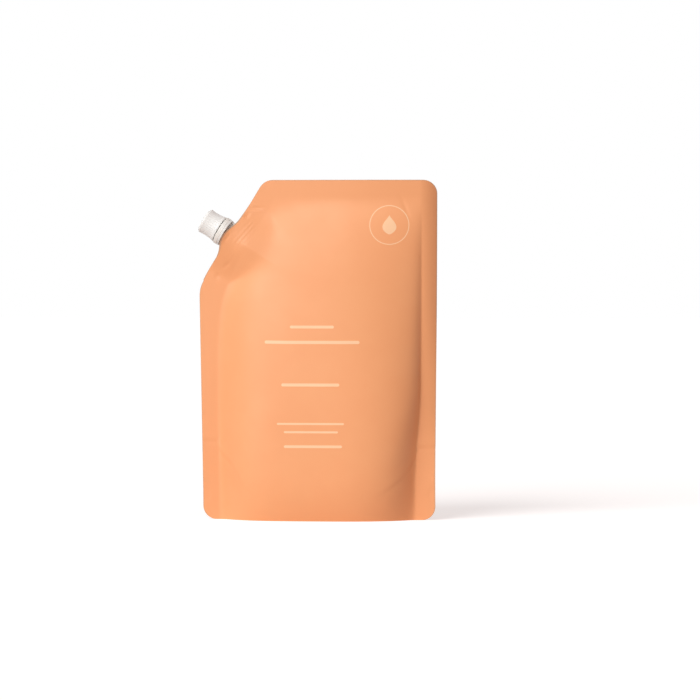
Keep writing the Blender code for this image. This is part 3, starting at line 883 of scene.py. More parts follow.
@dataclass
class FilmBag:
    """The bag of welded film, with its folded gusset and the mouth round the spout.

    Attributes:
        row_pitch, spout_pitch: Heights between the film's rows, and within fine_rows.
        weld_fade: How far the welds' painted shade fades in before and after a weld's inner line.
        mouth_end: Distance along the cut within which the mouth has its full depth.
        rim_round: How far the film's rim is rounded over.
        gusset_reach: Share of the belly that the skirts and the gusset cover.
        fold_rise, fold_sag, fold_power: Shape of the folded bottom film from side to side.
        arch_flat, arch_drop: Power of its arch from front to back, and its fall to the sides.
        least_inside: Least distance of a skirt's inner face from the welded plane.
        off_ground: Least height of the folded film.
    """

    form: BagForm
    finish: FilmFinish
    corner_steps: int = 10
    head_steps: int = 12
    row_pitch: float = 1.05
    spout_pitch: float = 0.62
    left_columns: int = 24
    right_columns: int = 14
    belly_columns: int = 130
    fine_rows: tuple[float, float] = (138.0, 187.0)
    weld_fade: tuple[float, float] = (2.0, 1.2)
    mouth_end: float = 15.0
    rim_round: float = 0.12
    gusset_reach: float = 0.965
    fold_rise: float = 46.2
    fold_sag: float = 1.2
    fold_power: float = 2.6
    arch_flat: float = 2.4
    arch_drop: float = 1.1
    least_inside: float = 0.05
    off_ground: float = 0.02
    skirt_steps: int = 6
    arch_steps: int = 24

    def rows(self) -> np.ndarray:
        """Space the film's rows, closer together round the corners and the spout.

        Returns:
            The heights of the rows.
        """
        corner = self.form.corner
        top = self.form.height
        low = corner * (1 - np.cos(math.pi / 2 * np.arange(self.corner_steps) / self.corner_steps))
        steps = np.arange(self.head_steps + 1)
        high = top - corner + corner * np.sin(math.pi / 2 * steps / self.head_steps)
        start, end = self.fine_rows
        middle = [spaced(corner, start, self.row_pitch), spaced(start, end, self.spout_pitch)]
        return np.concatenate([low, *middle, spaced(end, top - corner, self.row_pitch), high])

    def belly_shares(self) -> np.ndarray:
        """Places across the belly from -1 to 1, closer together at the flanks."""
        even = np.linspace(0, 1, self.belly_columns + 1)
        return 0.7 * -np.cos(math.pi * even) + 0.3 * (2 * even - 1)

    def columns(self, z: np.ndarray) -> np.ndarray:
        """Space the film's columns over the left weld, the belly and the right weld.

        Args:
            z: Heights of the rows.

        Returns:
            Places across the bag, one row of them for each height.
        """
        left, right = self.form.belly_limits(z)
        outer = self.form.left_edge(z)
        rest = self.form.right_edge(z)
        weld = outer + (left - outer) * np.linspace(0, 1, self.left_columns, endpoint=False)[:, None]
        belly = (left + right) / 2 + (right - left) / 2 * self.belly_shares()[:, None]
        fin = right + (rest - right) * np.linspace(0, 1, self.right_columns + 1)[1:, None]
        return np.concatenate([weld, belly, fin]).T

    def mouth_rim(self, z: np.ndarray, x: np.ndarray) -> np.ndarray:
        """Rows across the film's left edge, which dip into the pocket round the spout's base.

        Args:
            z: Heights of the film's rows.
            x: The left edge at those heights.

        Returns:
            Points between the front film's edge and the back film's, with the coordinates last.
        """
        form = self.form
        along, depth = form.on_cut(x, z)
        points, normals = form.plane(x, z)
        inner = form.pocket(along)
        front = form.half_depth(x, z, Side.FRONT)
        back = form.half_depth(x, z, Side.BACK)
        floor = form.boat_height + form.boat_inset + form.boat_clearance - form.crest
        ends = (form.boat.half_length + form.pocket_run, self.mouth_end)
        reach = np.clip(floor - depth, 0, None) * smooth(np.abs(along), *ends)
        inward = Vector((form.up[1], 0, -form.up[0])) * math.cos(form.lean)
        inward = np.array(inward - Vector((0, math.sin(form.lean), 0)))
        rounded = -self.rim_round * smooth(inner, 0, 0.5)
        none = np.zeros_like(inner)
        sections = [
            (-(front + inner) / 2, rounded),
            (-inner, none),
            (-inner, reach * 0.35),
            (-inner, reach),
            (none, reach),
            (inner, reach),
            (inner, reach * 0.35),
            (inner, none),
            ((back + inner) / 2, rounded),
        ]
        rows = [points + normals * y[:, None] + inward * d[:, None] for y, d in sections]
        return np.stack(rows, axis=1)

    def gusset(self, shape: bmesh.types.BMesh, front: Row, back: Row) -> None:
        """Add the skirts' inner faces and the folded bottom film between them.

        Args:
            shape: The bag's mesh, which already has both outer films.
            front: The front film's lowest row of vertices.
            back: The back film's lowest row of vertices.
        """
        form = self.form
        shares = self.belly_shares()
        inside = [i for i, share in enumerate(shares) if abs(share) <= self.gusset_reach]
        lines = []
        for i in inside:
            share = float(shares[i])
            weld = float(form.gusset_weld(np.float64(share)))
            fold = self.fold_rise * abs(share) ** self.fold_power - self.fold_sag
            curve = self.arch_flat - self.arch_drop * abs(share)
            z = np.linspace(0, weld, self.skirt_steps + 1)
            left, right = form.belly_limits(z)
            x = (left + right) / 2 + (right - left) / 2 * share
            thickness = 2 * form.film
            middle, normals = form.plane(x, z)
            near = np.maximum(form.half_depth(x, z, Side.FRONT) - thickness, self.least_inside)
            far = np.maximum(form.half_depth(x, z, Side.BACK) - thickness, self.least_inside)
            across = np.linspace(-1, 1, self.arch_steps + 1)[1:-1]
            wide = across * np.where(across < 0, near[-1], far[-1])
            arch = middle[-1] + normals[-1] * wide[:, None]
            arch[:, 2] = np.maximum(fold + (weld - fold) * np.abs(across) ** curve, self.off_ground)
            back_skirt = (middle + normals * far[:, None])[::-1]
            lines.append(np.concatenate([middle - normals * near[:, None], arch, back_skirt]))
        grid = add_grid(shape, np.array(lines))
        skin(shape, grid)
        first = self.left_columns + inside[0]
        last = self.left_columns + inside[-1]
        skin(shape, [front[first : last + 1], [line[0] for line in grid]])
        skin(shape, [[line[-1] for line in grid], back[first : last + 1]])
        for row, line in ((first, grid[0]), (last, grid[-1])):
            shape.faces.new((front[row], *line, back[row]))
        for start, end in ((0, first), (last, len(front) - 1)):
            skin(shape, [front[start : end + 1], back[start : end + 1]])

    def build(self, surface: bpy.types.NodeTree) -> bpy.types.Object:
        """Make the bag.

        Args:
            surface: The film surface group.

        Returns:
            The bag's piece.
        """
        form = self.form
        z = self.rows()
        x = self.columns(z)
        heights = np.repeat(z[:, None], x.shape[1], axis=1)
        shape = bmesh.new()
        front = add_grid(shape, form.film_points(x, heights, Side.FRONT))
        back = add_grid(shape, form.film_points(x, heights, Side.BACK))
        rim = add_grid(shape, self.mouth_rim(z, x[:, 0]))
        skin(shape, front)
        skin(shape, back)
        skin(shape, [[f[0], *r, b[0]] for f, r, b in zip(front, rim, back)])
        skin(shape, [[row[-1] for row in front], [row[-1] for row in back]])
        skin(shape, [front[-1], back[-1]])
        self.gusset(shape, front[0], back[0])
        for row in (0, -1):
            shape.faces.new([front[row][0], *rim[row], back[row][0]])
        bmesh.ops.remove_doubles(shape, verts=shape.verts, dist=SLIVER)
        bmesh.ops.dissolve_degenerate(shape, edges=shape.edges, dist=NO_LENGTH)
        bmesh.ops.triangulate(shape, faces=[face for face in shape.faces if len(face.verts) > 4])
        bmesh.ops.recalc_face_normals(shape, faces=shape.faces)
        bag = mesh_piece("film_bag", shape, "pouch")
        self.mark_welds(bag.data)
        bag.data.materials.append(self.finish.material(surface))
        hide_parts("pouch")
        return bag

    def mark_welds(self, mesh: bpy.types.Mesh) -> None:
        """Store the welded margins and the cut edges, both darkened with painted shade, as the mesh
        attributes weld and edge_shade.

        Args:
            mesh: The bag's mesh in metres.
        """
        places = np.empty(3 * len(mesh.vertices))
        mesh.vertices.foreach_get("co", places)
        x, _, z = places.reshape(-1, 3).T / MM
        left, right = self.form.belly_limits(z)
        before, after = self.weld_fade
        side = smooth(np.maximum(left - x, x - right), -before, after)
        weld_start = self.form.height - self.form.top_weld
        top = smooth(z, weld_start - before, weld_start + after)
        outer, rest = self.form.left_edge(z), self.form.right_edge(z)
        # Distance from the outline, which sets where the painted edge shade falls.
        rim = np.minimum(np.minimum(x - outer, rest - x), self.form.height - z)
        for name, values in (("weld", np.maximum(side, top)), ("edge_shade", smooth(rim, 0.5, 0.05))):
            layer = mesh.attributes.new(name, "FLOAT", "POINT")
            layer.data.foreach_set("value", values)


@dataclass(frozen=True)
class Bar:
    """A printed bar with round ends."""

    middle: float
    height: float
    length: float
    width: float


@dataclass
class PrintedBadge:
    """Generic pale print on the front film: a ring with a drop, and plain rounded bars."""

    form: BagForm
    finish: FilmFinish
    bars: tuple[Bar, ...] = (
        Bar(-1.7, 113.2, 25.7, 1.7),
        Bar(-1.7, 104.3, 55.0, 1.9),
        Bar(-2.3, 79.6, 33.9, 1.8),
        Bar(-2.1, 57.0, 39.2, 1.2),
        Bar(-1.8, 52.2, 31.6, 1.2),
        Bar(-0.6, 43.8, 33.9, 1.6),
    )
    bar_rows: int = 5
    end_steps: int = 9
    ring_centre: tuple[float, float] = (42.3, 172.6)
    ring_radius: float = 11.3
    ring_line: float = 0.55
    ring_steps: int = 144
    drop_low: float = -5.6
    drop_height: float = 11.4
    drop_width: float = 4.1
    drop_full: float = 1.35
    drop_rows: int = 7
    proud: float = 0.04
    sunk: float = 0.15

    def rims(self, layer: list[Row], closed: bool) -> list[Row]:
        """Find the edges of one layer of a patch.

        Args:
            layer: The layer's rows of vertices.
            closed: Whether each row joins its own start.

        Returns:
            The edges as loops of vertices.
        """
        if closed:
            return [layer[0], layer[-1]]
        sides = [row[-1] for row in layer[1:-1]], [row[0] for row in layer[-2:0:-1]]
        return [[*layer[0], *sides[0], *layer[-1][::-1], *sides[1]]]

    def add_patch(
        self,
        shape: bmesh.types.BMesh,
        x: np.ndarray,
        z: np.ndarray,
        closed: bool = False,
    ) -> None:
        """Add a thin closed patch of ink that follows the film.

        Args:
            shape: The print's mesh.
            x: Places across the bag, as a grid.
            z: Heights, as a grid.
            closed: Whether each row of the grid joins its own start.
        """
        reaches = (self.proud, -self.sunk)
        layers = [add_grid(shape, self.form.film_points(x, z, Side.FRONT, reach)) for reach in reaches]
        for layer in layers:
            skin(shape, layer, closed)
        for over, under in zip(*(self.rims(layer, closed) for layer in layers)):
            skin(shape, (over, under), closed=True)

    def add_bar(self, shape: bmesh.types.BMesh, bar: Bar) -> None:
        """Add a bar with round ends.

        Args:
            shape: The print's mesh.
            bar: The bar's sizes.
        """
        half = bar.width / 2
        straight = bar.length / 2 - half
        quarter = np.linspace(0, math.pi / 2, self.end_steps)
        x = np.concatenate(
            [
                -straight - half * np.cos(quarter)[:-1],
                np.linspace(-straight, straight, max(2, round(bar.length))),
                straight + half * np.sin(quarter)[1:],
            ]
        )
        end = np.clip(np.abs(x) - straight, 0, half)
        rise = np.sqrt(np.clip(half**2 - end**2, 0.0004, None))
        steps = np.linspace(-1, 1, self.bar_rows)[:, None]
        self.add_patch(shape, bar.middle + np.tile(x, (self.bar_rows, 1)), bar.height + steps * rise)

    def add_ring(self, shape: bmesh.types.BMesh) -> None:
        """Add the ring.

        Args:
            shape: The print's mesh.
        """
        steps = np.linspace(-0.5, 0.5, 3)[:, None]
        radius = self.ring_radius + steps * self.ring_line
        angle = np.linspace(0, 2 * math.pi, self.ring_steps, endpoint=False)
        x = self.ring_centre[0] + radius * np.cos(angle)
        self.add_patch(shape, x, self.ring_centre[1] + radius * np.sin(angle), closed=True)

    def add_drop(self, shape: bmesh.types.BMesh) -> None:
        """Add a plain drop inside the ring.

        Args:
            shape: The print's mesh.
        """
        tall = np.linspace(0.01, 0.995, 25)
        wide = self.drop_width * np.sin(math.pi * tall) ** 0.75 * (1 - tall) ** 0.55 * self.drop_full
        steps = np.linspace(-1, 1, self.drop_rows)[:, None]
        z = self.ring_centre[1] + self.drop_low + self.drop_height * tall
        self.add_patch(shape, self.ring_centre[0] + steps * wide, np.tile(z, (self.drop_rows, 1)))

    def build(self, surface: bpy.types.NodeTree) -> bpy.types.Object:
        """Make the print.

        Args:
            surface: The film surface group.

        Returns:
            The print's piece.
        """
        shape = bmesh.new()
        for bar in self.bars:
            self.add_bar(shape, bar)
        self.add_ring(shape)
        self.add_drop(shape)
        bmesh.ops.recalc_face_normals(shape, faces=shape.faces)
        badge = mesh_piece("badge_print", shape, "pouch")
        badge.data.materials.append(self.finish.material(surface))
        return badge


@dataclass
class SpoutFrame:
    """The shared axis of spout, band and cap, and the helper that turns outlines round it."""

    slant: float = CUT_SLANT
    segments: int = 144

    def __post_init__(self) -> None:
        """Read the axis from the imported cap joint."""
        joint = next(item for item in frame["joints"] if item["name"] == "cap_turn")
        outward = Vector(joint["axis"]).normalized()
        up = Vector((math.sin(self.slant), 0, math.cos(self.slant)))
        turned = Matrix((up, outward.cross(up), outward)).transposed().to_4x4()
        self.place = Matrix.Translation(Vector(joint["pos_m"])) @ turned

    def turn(
        self,
        outline: np.ndarray,
        closed: bool = False,
        segments: int | None = None,
        carve: Carving | None = None,
    ) -> bmesh.types.BMesh:
        """Turn an outline round the axis.

        Args:
            outline: Points of radius and height; a closed one is a ring's section.
            closed: Whether the last point joins the first.
            segments: Steps round the axis.
            carve: Gives new radii and heights for angles, radii and heights.

        Returns:
            A closed mesh in metres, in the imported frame.
        """
        count = segments or self.segments
        angle = 2 * math.pi * np.arange(count) / count
        radius = np.repeat(outline[:, :1], count, axis=1)
        height = np.repeat(outline[:, 1:], count, axis=1)
        if carve:
            radius, height = carve(angle, radius, height)
        points = np.stack([radius * np.cos(angle), radius * np.sin(angle), height], axis=-1)
        shape = bmesh.new()
        rings = add_grid(shape, points)
        skin(shape, rings + rings[:1] if closed else rings, closed=True)
        bmesh.ops.remove_doubles(shape, verts=shape.verts, dist=SLIVER)
        bmesh.ops.recalc_face_normals(shape, faces=shape.faces)
        bmesh.ops.transform(shape, matrix=self.place, verts=shape.verts)
        return shape


def filleted(
    corners: Sequence[tuple[float, float, float]],
    pitch: float = 0.5,
    closed: bool = False,
    steps: int = 5,
) -> np.ndarray:
    """Round the corners of an outline and divide its long runs.

    Args:
        corners: Radius, height and fillet radius of each corner.
        pitch: Longest run without a point.
        closed: Whether the last corner joins the first.
        steps: Points on each fillet.

    Returns:
        The outline's points.
    """
    path = []
    for i, (radius, height, round_off) in enumerate(corners):
        point = np.array([radius, height])
        if not round_off:
            path.append(point)
            continue
        before = np.array(corners[i - 1][:2]) - point
        after = np.array(corners[(i + 1) % len(corners)][:2]) - point
        before /= np.linalg.norm(before)
        after /= np.linalg.norm(after)
        bend = math.acos(float(np.clip(before @ after, -1, 1)))
        run = round_off / math.tan(bend / 2)
        for k in range(steps + 1):
            share = k / steps
            start = point + before * run * (1 - share)
            end = point + after * run * share
            path.append(start * (1 - share) + end * share)
    dense = [path[0]]
    for point in path[1:] + path[: int(closed)]:
        count = max(1, math.ceil(float(np.linalg.norm(point - dense[-1])) / pitch))
        last = dense[-1]
        dense += [last + (point - last) * k / count for k in range(1, count + 1)]
    return np.array(dense[:-1] if closed else dense)


@dataclass(frozen=True)
class Helix:
    """A right-hand thread ridge on a wall."""

    wall: float
    crest: float
    start: float
    turns: float
    phase: float = 0.0
    lead: float = 3.0
    root_width: float = 1.7
    crest_width: float = 0.9
    runout: float = 1 / 6
    near: float = 0.01

    def ridge(self, angle: np.ndarray, height: np.ndarray) -> np.ndarray:
        """How far the ridge reaches from its wall, as a share of its depth.

        Args:
            angle: Angles round the axis.
            height: Heights along it, one row for each outline point.

        Returns:
            The share at each place.
        """
        out = np.zeros_like(height)
        for turn in range(math.ceil(self.turns) + 1):
            travel = (angle / (2 * math.pi) - self.phase) % 1 + turn
            offset = np.abs(height - self.start - self.lead * travel)
            face = (self.root_width / 2 - offset) / ((self.root_width - self.crest_width) / 2)
            full = np.clip(np.minimum(travel, self.turns - travel) / self.runout, 0, 1)
            out = np.maximum(out, np.clip(face, 0, 1) * smooth(full, 0, 1))
        return out

    def carve(self, angle: np.ndarray, radius: np.ndarray, height: np.ndarray) -> Places:
        """Raise the ridge on the places that lie on its wall.

        Args:
            angle: Angles round the axis.
            radius: Radii, one row for each outline point.
            height: Heights, one row for each outline point.

        Returns:
            The new radii and the heights.
        """
        on_wall = np.abs(radius - self.wall) < self.near
        raised = radius + (self.crest - self.wall) * self.ridge(angle, height)
        return np.where(on_wall, raised, radius), height


@dataclass
class CornerSpout:
    """The moulding in the corner: boat-shaped base, collar, flange, bead and threaded neck.

    Attributes:
        bore, neck, thread, bead, flange: Radii.
        collar_length: Half the length of the lens-shaped collar that fills the film's mouth.
        collar_inset: How far the collar is thinner than the neck.
        least_swell: Least swell of a section's thickness at the block's rims.
        bore_reach: Half the length of the tool that cuts the bore.
    """

    axis: SpoutFrame
    finish: MouldedFinish
    bore: float = 4.3
    neck: float = 5.3
    thread: float = 6.0
    bead: float = 6.7
    flange: float = 8.3
    flange_low: float = -0.5
    flange_high: float = 0.97
    collar_length: float = 7.9
    collar_inset: float = 0.3
    collar_heights: tuple[float, float] = (-9.0, -0.2)
    block: BoatSize = BoatSize()
    block_steps: int = 41
    least_swell: float = -0.25
    boat_low: float = -14.3
    boat_top: float = -4.3
    rib_heights: tuple[float, ...] = (-13.2, -10.9, -8.6, -6.3)
    rib_rise: float = 0.25
    rib_reach: float = 0.6
    rib_steps: tuple[float, ...] = (-0.6, -0.4, -0.2, 0.0, 0.2, 0.4, 0.6)
    bead_heights: tuple[float, ...] = (1.8, 2.05, 2.4, 2.55)
    neck_foot: float = -9.3
    neck_top: float = 12.75
    thread_zone: tuple[float, float] = (2.9, 12.1)
    thread_start: float = 5.35
    thread_turns: float = 1.75
    bore_reach: float = 20.0

    def lens(self, levels: Sequence[tuple[float, float]], size: BoatSize) -> bmesh.types.BMesh:
        """Make a block with a section like a boat, pointed at both ends.

        Args:
            levels: Heights, and how far the section swells at each.
            size: The section's sizes where it doesn't swell.

        Returns:
            A closed mesh in metres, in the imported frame.
        """
        share = np.sin(math.pi / 2 * np.linspace(-1, 1, self.block_steps))
        sections = []
        for height, swell in levels:
            x = (size.half_length + swell) * share
            thick = size.thickness(share) + max(swell, self.least_swell)
            side = np.stack([x, -thick, np.full_like(x, height)], axis=-1)
            other = (side * (1, -1, 1))[::-1]
            sections.append(np.concatenate([side, other]))
        shape = bmesh.new()
        rings = add_grid(shape, np.array(sections))
        skin(shape, rings, closed=True)
        shape.faces.new(rings[0])
        shape.faces.new(rings[-1])
        bmesh.ops.recalc_face_normals(shape, faces=shape.faces)
        bmesh.ops.transform(shape, matrix=self.axis.place, verts=shape.verts)
        return shape

    def boat(self) -> bmesh.types.BMesh:
        """Make the ribbed base with rounded rims.

        Returns:
            A closed mesh in metres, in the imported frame.
        """
        levels = [(self.boat_low, -0.5), (self.boat_low + 0.15, -0.12), (self.boat_low + 0.4, 0.0)]
        for middle in self.rib_heights:
            for reach in self.rib_steps:
                swell = self.rib_rise * math.cos(math.pi / 2 * reach / self.rib_reach) ** 2
                levels.append((middle + reach, swell))
        levels += [(self.boat_top - 0.4, 0.0), (self.boat_top - 0.12, -0.12), (self.boat_top, -0.4)]
        return self.lens(levels, self.block)

    def neck_outline(self) -> np.ndarray:
        """Draw flange, bead, barrel and rounded mouth, from the axis to the axis.

        Returns:
            Points of radius and height.
        """
        barrel = [(self.neck, z, 0) for z in np.arange(*self.thread_zone, THREAD_ROW)]
        corners = [
            (0, self.neck_foot, 0),
            (self.neck, self.neck_foot, 0),
            (self.neck, self.flange_low, 0.15),
            (self.flange, self.flange_low, 0.3),
            (self.flange, self.flange_high, 0.05),
            (self.neck, self.flange_high, 0.15),
            (self.neck, self.bead_heights[0], 0.1),
            (self.bead, self.bead_heights[0], 0.12),
            (self.bead, self.bead_heights[1], 0.12),
            (self.thread, self.bead_heights[2], 0.1),
            (self.neck, self.bead_heights[3], 0.1),
            *barrel,
            (self.neck, self.neck_top, 0.35),
            (0, self.neck_top, 0),
        ]
        return filleted(corners)

    def build(self, surface: bpy.types.NodeTree) -> bpy.types.Object:
        """Make the spout.

        Args:
            surface: The moulded surface group.

        Returns:
            The spout's piece.
        """
        helix = Helix(self.neck, self.thread, self.thread_start, self.thread_turns)
        neck = self.axis.turn(self.neck_outline(), carve=helix.carve)
        spout = mesh_piece("spout_moulding", neck, "pouch")
        levels = [(height, 0.0) for height in self.collar_heights]
        collar = self.lens(levels, BoatSize(self.collar_length, self.neck - self.collar_inset))
        far = self.bore_reach
        edge = filleted([(0, -far, 0), (self.bore, -far, 0), (self.bore, far, 0), (0, far, 0)], 6.0)
        tools = (
            ("boat", self.boat(), Joining.ADD),
            ("collar", collar, Joining.ADD),
            ("bore", self.axis.turn(edge), Joining.CUT),
        )
        for name, shape, joining in tools:
            combine(spout, mesh_piece(name, shape, "pouch"), joining)
        spout.data.set_sharp_from_angle(angle=SHARP_EDGE)
        spout.data.materials.clear()
        spout.data.materials.append(self.finish.material(surface))
        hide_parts("spout")
        return spout


@dataclass
class TamperBand:
    """The loose ring under the cap, with the stubs of its broken bridges."""

    axis: SpoutFrame
    finish: MouldedFinish
    bore: float = 7.1
    outside: float = 8.4
    lip: float = 5.7
    low: float = 1.0
    height: float = 2.2
    lip_height: float = 0.5
    stubs: int = 8
    stub_width: float = 0.8
    stub_rise: float = 0.25
    stub_edge: float = 0.12
    stub_ends: tuple[float, float] = (0.45, 0.25)
    segments: int = 240

    def stub(self, angle: np.ndarray, radius: np.ndarray, height: np.ndarray) -> Places:
        """Raise the bridge stubs on the ring's top face.

        Args:
            angle: Angles round the axis.
            radius: Radii, one row for each outline point.
            height: Heights, one row for each outline point.

        Returns:
            The radii and the new heights.
        """
        pitch = 2 * math.pi / self.stubs
        middle = (self.bore + self.outside) / 2
        off = np.abs((angle % pitch) - pitch / 2) * middle
        along = smooth(off, self.stub_width / 2 + self.stub_edge, self.stub_width / 2 - self.stub_edge)
        across = smooth(np.abs(radius - middle), *self.stub_ends)
        top = height > self.low + self.height - 0.01
        return radius, height + np.where(top, self.stub_rise * along * across, 0)

    def build(self, surface: bpy.types.NodeTree) -> bpy.types.Object:
        """Make the band.

        Args:
            surface: The moulded surface group.

        Returns:
            The band's piece.
        """
        low = self.low
        high = low + self.height
        corners = [
            (self.lip, low, 0.1),
            (self.outside, low, 0.06),
            (self.outside, high, 0.22),
            (self.bore, high, 0.1),
            (self.bore, low + self.lip_height, 0.08),
            (self.lip, low + self.lip_height, 0.1),
        ]
        outline = filleted(corners, pitch=0.12, closed=True)
        ring = self.axis.turn(outline, True, self.segments, self.stub)
        band = mesh_piece("tamper_ring", ring, "tamper_band")
        band.data.materials.append(self.finish.material(surface))
        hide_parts("tamper_band")
        return band


@dataclass
class ScrewCap:
    """The ribbed screw cap with its inner thread and the plug ring that seals the bore.

    Attributes:
        foot_height: Height of the cap's foot on the spout's axis.
        top: Thickness of the crown.
        waist, flare, flare_curve: Radius of the side, and how it widens towards the foot.
        rim: Height of the smooth rim under the ribs.
        crown_swell, waist_draw: Swell of the side at the crown, and its draw at half height.
        outer_rows: How many of the outline's points lie outside, where the ribs are cut.
    """

    axis: SpoutFrame
    finish: MouldedFinish
    foot_height: float = 3.75
    length: float = 10.9
    top: float = 1.2
    waist: float = 7.35
    flare: float = 0.65
    flare_curve: float = 2.2
    top_radius: float = 1.4
    rim: float = 0.7
    ribs: int = 36
    rib_depth: float = 0.11
    crown_swell: float = 0.22
    waist_draw: float = 0.15
    bore: float = 6.3
    plug: float = 4.0
    plug_wall: float = 0.8
    plug_length: float = 1.5
    crown_flat: float = 2.5
    outer_rows: int = 40
    rib_fade: float = 0.45
    thread: float = 5.6
    thread_start: float = 1.1
    thread_turns: float = 1.25
    thread_phase: float = 1 / 3

    def outline(self) -> np.ndarray:
        """Draw the cap from the axis over the crown, down the side and up inside.

        Returns:
            Points of radius and height.
        """
        foot = self.foot_height
        shoulder = foot + self.length - self.top_radius
        ribs_start = foot + self.rim + self.rib_depth
        crown = [(0, foot + self.length), (self.crown_flat, foot + self.length)]
        for k in range(9):
            angle = math.pi / 2 * (1 - k / 8)
            radius = self.waist + self.crown_swell - self.top_radius * (1 - math.cos(angle))
            crown.append((radius, shoulder + self.top_radius * math.sin(angle)))
        side = []
        for rise in np.linspace(1, 0, 28)[1:]:
            radius = self.waist + (self.flare - 0.1) * (1 - rise) ** self.flare_curve
            radius += self.crown_swell * rise**3 - self.waist_draw * math.sin(math.pi * rise)
            side.append((radius, ribs_start + (shoulder - ribs_start) * rise))
        wide = self.waist + self.flare
        ceiling = foot + self.length - self.top
        wall = [(self.bore, z, 0) for z in np.arange(foot + 0.35, ceiling - 0.2, THREAD_ROW)]
        skirt = [
            (wide, foot + self.rim + 0.04, 0.05),
            (wide, foot, 0.16),
            (self.bore, foot, 0.2),
            *wall,
            (self.bore, ceiling, 0.15),
            (self.plug, ceiling, 0.1),
            (self.plug, ceiling - self.plug_length, 0.2),
            (self.plug - self.plug_wall, ceiling - self.plug_length, 0.1),
            (self.plug - self.plug_wall, ceiling, 0.15),
            (0, ceiling, 0),
        ]
        start = (*side[-1], 0)
        return np.concatenate([np.array(crown + side[:-1]), filleted([start, *skirt])])

    def carve(self, angle: np.ndarray, radius: np.ndarray, height: np.ndarray) -> Places:
        """Cut the grooves between the grip ribs, and raise the thread inside.

        Args:
            angle: Angles round the axis.
            radius: Radii, one row for each outline point.
            height: Heights, one row for each outline point.

        Returns:
            The new radii and the heights.
        """
        foot = self.foot_height
        outside = radius > self.bore + 0.02
        outside &= np.arange(len(radius))[:, None] < self.outer_rows
        wave = 0.5 - 0.5 * np.cos(self.ribs * angle)
        groove = self.rib_depth * wave
        low = smooth(height, foot + self.rim, foot + self.rim + self.rib_fade)
        high = smooth(height, foot + self.length - 0.15, foot + self.length - self.top_radius)
        ribbed = np.where(outside, radius - groove * low * high, radius)
        start = foot + self.thread_start
        helix = Helix(self.bore, self.thread, start, self.thread_turns, self.thread_phase)
        return helix.carve(angle, ribbed, height)

    def build(self, surface: bpy.types.NodeTree) -> bpy.types.Object:
        """Make the cap.

        Args:
            surface: The moulded surface group.

        Returns:
            The cap's piece.
        """
        shape = self.axis.turn(self.outline(), segments=self.ribs * 8, carve=self.carve)
        cap = mesh_piece("screw_cap", shape, "cap")
        cap.data.materials.append(self.finish.material(surface))
        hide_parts("cap")
        return cap


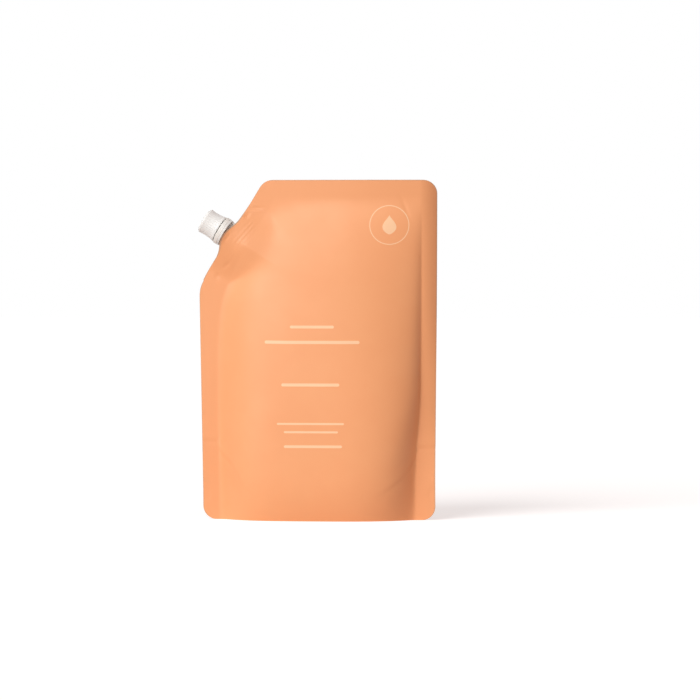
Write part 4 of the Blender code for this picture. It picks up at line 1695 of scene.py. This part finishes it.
@dataclass
class Studio:
    """White floor and surround, soft daylight from the front left, and the camera.

    Attributes:
        aim: The point the camera looks at, in metres.
        bright_side, dark_side: The fill light from the key's side and from the far side.
        fill_turn: Cosines to the key's direction between which the fill turns.
        floor_lift: Glow of the floor where it is seen, so that it shows white.
        floor_colour, floor_seen: The floor's colour to the light, and to the camera.
    """

    aim: tuple[float, float, float] = (0.0193, 0.0, 0.0995)
    azimuth: float = 5.0
    elevation: float = 1.6
    distance: float = 2.2
    lens: float = 193.4
    sensor: float = 36.0
    clip: tuple[float, float] = (0.05, 30.0)
    key_strength: float = 2.65
    key_azimuth: float = -33.0
    key_elevation: float = 33.0
    key_softness: float = 40.0
    bright_side: Colour = (0.32, 0.315, 0.305)
    dark_side: Colour = (0.26, 0.085, 0.05)
    fill_turn: tuple[float, float] = (-0.3, 0.9)
    floor_reach: float = 6.0
    floor_roughness: float = 0.9
    floor_lift: float = 0.64
    floor_colour: Colour = (0.76, 0.72, 0.69)
    floor_seen: Colour = (0.58, 0.57, 0.57)

    def direction(self, azimuth: float, elevation: float) -> Vector:
        """Find a direction from the object.

        Args:
            azimuth: Degrees round the object, from its front.
            elevation: Degrees above the horizon.

        Returns:
            The unit vector that points there.
        """
        turn = math.radians(azimuth)
        rise = math.radians(elevation)
        return Vector((math.sin(turn) * math.cos(rise), -math.cos(turn) * math.cos(rise), math.sin(rise)))

    def add_key(self) -> None:
        """Add the key light, one soft sun lamp."""
        lamp = bpy.data.lights.new("key", "SUN")
        lamp.energy = self.key_strength
        lamp.angle = math.radians(self.key_softness)
        item = bpy.data.objects.new("key", lamp)
        towards = self.direction(self.key_azimuth, self.key_elevation)
        item.rotation_euler = towards.to_track_quat("Z", "Y").to_euler()
        bpy.context.scene.collection.objects.link(item)

    def shown_white(self, tree: Tree) -> Socket:
        """Mask rays of the camera, of gloss and of glass, which see a white studio.

        Args:
            tree: The nodes of the floor or the world.

        Returns:
            1 for such rays, 0 for those that light the object.
        """
        path = tree.add("LightPath").outputs
        seen = tree.math("MAXIMUM", path["Is Camera Ray"], path["Is Glossy Ray"])
        return tree.math("MAXIMUM", seen, path["Is Transmission Ray"])

    def add_floor(self) -> None:
        """Add the white floor, which keeps the object's shadow."""
        shape = bmesh.new()
        bmesh.ops.create_grid(shape, x_segments=1, y_segments=1, size=self.floor_reach)
        mesh = bpy.data.meshes.new("floor")
        shape.to_mesh(mesh)
        shape.free()
        floor = bpy.data.objects.new("floor", mesh)
        bpy.context.scene.collection.objects.link(floor)
        made, tree = new_material("floor_white")
        seen = self.shown_white(tree)
        inputs = {
            "Base Color": tree.tint(seen, self.floor_colour, self.floor_seen),
            "Roughness": self.floor_roughness,
            "Specular IOR Level": 0.0,
            "Emission Color": (*WHITE, 1),
            "Emission Strength": tree.math("MULTIPLY", seen, self.floor_lift),
        }
        tree.dress(inputs)
        mesh.materials.append(made)

    def light_world(self) -> None:
        """Set the soft fill light, brighter on the key's side, and white where it is seen."""
        world = bpy.data.worlds.new("studio_world")
        bpy.context.scene.world = world
        world.use_nodes = True
        tree = Tree(world.node_tree)
        seen = self.shown_white(tree)
        towards = tree.add("TexCoord").outputs["Generated"]
        key = self.direction(self.key_azimuth, self.key_elevation)
        facing = tree.add("VectorMath", {0: towards, 1: key}, operation="DOT_PRODUCT").outputs["Value"]
        side = tree.ramp(facing, *self.fill_turn)
        fill = tree.add("Background", {"Color": tree.tint(side, self.dark_side, self.bright_side)})
        shown = tree.add("Background", {"Color": (*WHITE, 1), "Strength": 1.0})
        mixed = tree.add("MixShader", {0: seen, 1: fill.outputs[0], 2: shown.outputs[0]})
        tree.add("OutputWorld", {"Surface": mixed.outputs[0]})

    def add_camera(self) -> None:
        """Set the camera at the photograph's angle."""
        camera = bpy.data.cameras.new("camera")
        camera.lens = self.lens
        camera.sensor_width = self.sensor
        camera.clip_start, camera.clip_end = self.clip
        item = bpy.data.objects.new("camera", camera)
        towards = self.direction(self.azimuth, self.elevation)
        item.location = Vector(self.aim) + towards * self.distance
        item.rotation_euler = towards.to_track_quat("Z", "Y").to_euler()
        bpy.context.scene.collection.objects.link(item)
        bpy.context.scene.camera = item

    def build(self) -> None:
        """Set up the studio."""
        bpy.context.scene.view_settings.view_transform = "Standard"
        self.add_floor()
        self.light_world()
        self.add_key()
        self.add_camera()


def main() -> None:
    """Build the object's pieces in order, and the studio round them."""
    logging.basicConfig(level=logging.INFO, format="%(name)s: %(message)s")
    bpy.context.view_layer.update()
    film_surface = film_surface_group()
    moulded_surface = moulded_surface_group()
    peach = FilmFinish(
        "peach_film",
        colour=(0.87, 0.382, 0.169),
        mottled=(0.86, 0.367, 0.16),
        # seal: painted shade on the welded margins
        seal_shade=(0.85, 0.365, 0.158),
        # edge: painted shade along the film's cut edges
        edge=(0.55, 0.33, 0.2),
    )
    ink_colour = (0.95, 0.60, 0.36)
    ink = FilmFinish("pale_ink", ink_colour, (0.93, 0.58, 0.34), ink_colour, ink_colour, crinkle_depth=0.02)
    white = MouldedFinish("white_cap", (0.84, 0.84, 0.82), (0.82, 0.82, 0.80))
    # The band is warmer than the cap's white: painted bounce light, standing in for light thrown onto it by
    # the orange film.
    band_bounce_finish = MouldedFinish("band_bounce_tint", (0.86, 0.84, 0.80), (0.84, 0.82, 0.77))
    milky = MouldedFinish("milky_spout", (0.82, 0.81, 0.78), (0.80, 0.79, 0.76))
    form = BagForm()
    axis = SpoutFrame()
    pieces = [
        FilmBag(form, peach).build(film_surface),
        PrintedBadge(form, ink).build(film_surface),
        CornerSpout(axis, milky).build(moulded_surface),
        TamperBand(axis, band_bounce_finish).build(moulded_surface),
        ScrewCap(axis, white).build(moulded_surface),
    ]
    for piece in pieces:
        low, high = (Vector(corner) for corner in (piece.bound_box[0], piece.bound_box[6]))
        size = " x ".join(f"{1000 * side:.1f}" for side in high - low)
        LOG.info("%s: %d faces, %s mm", piece.name, len(piece.data.polygons), size)
    Studio().build()
    bpy.context.view_layer.update()


if __name__ == "__main__":
    main()
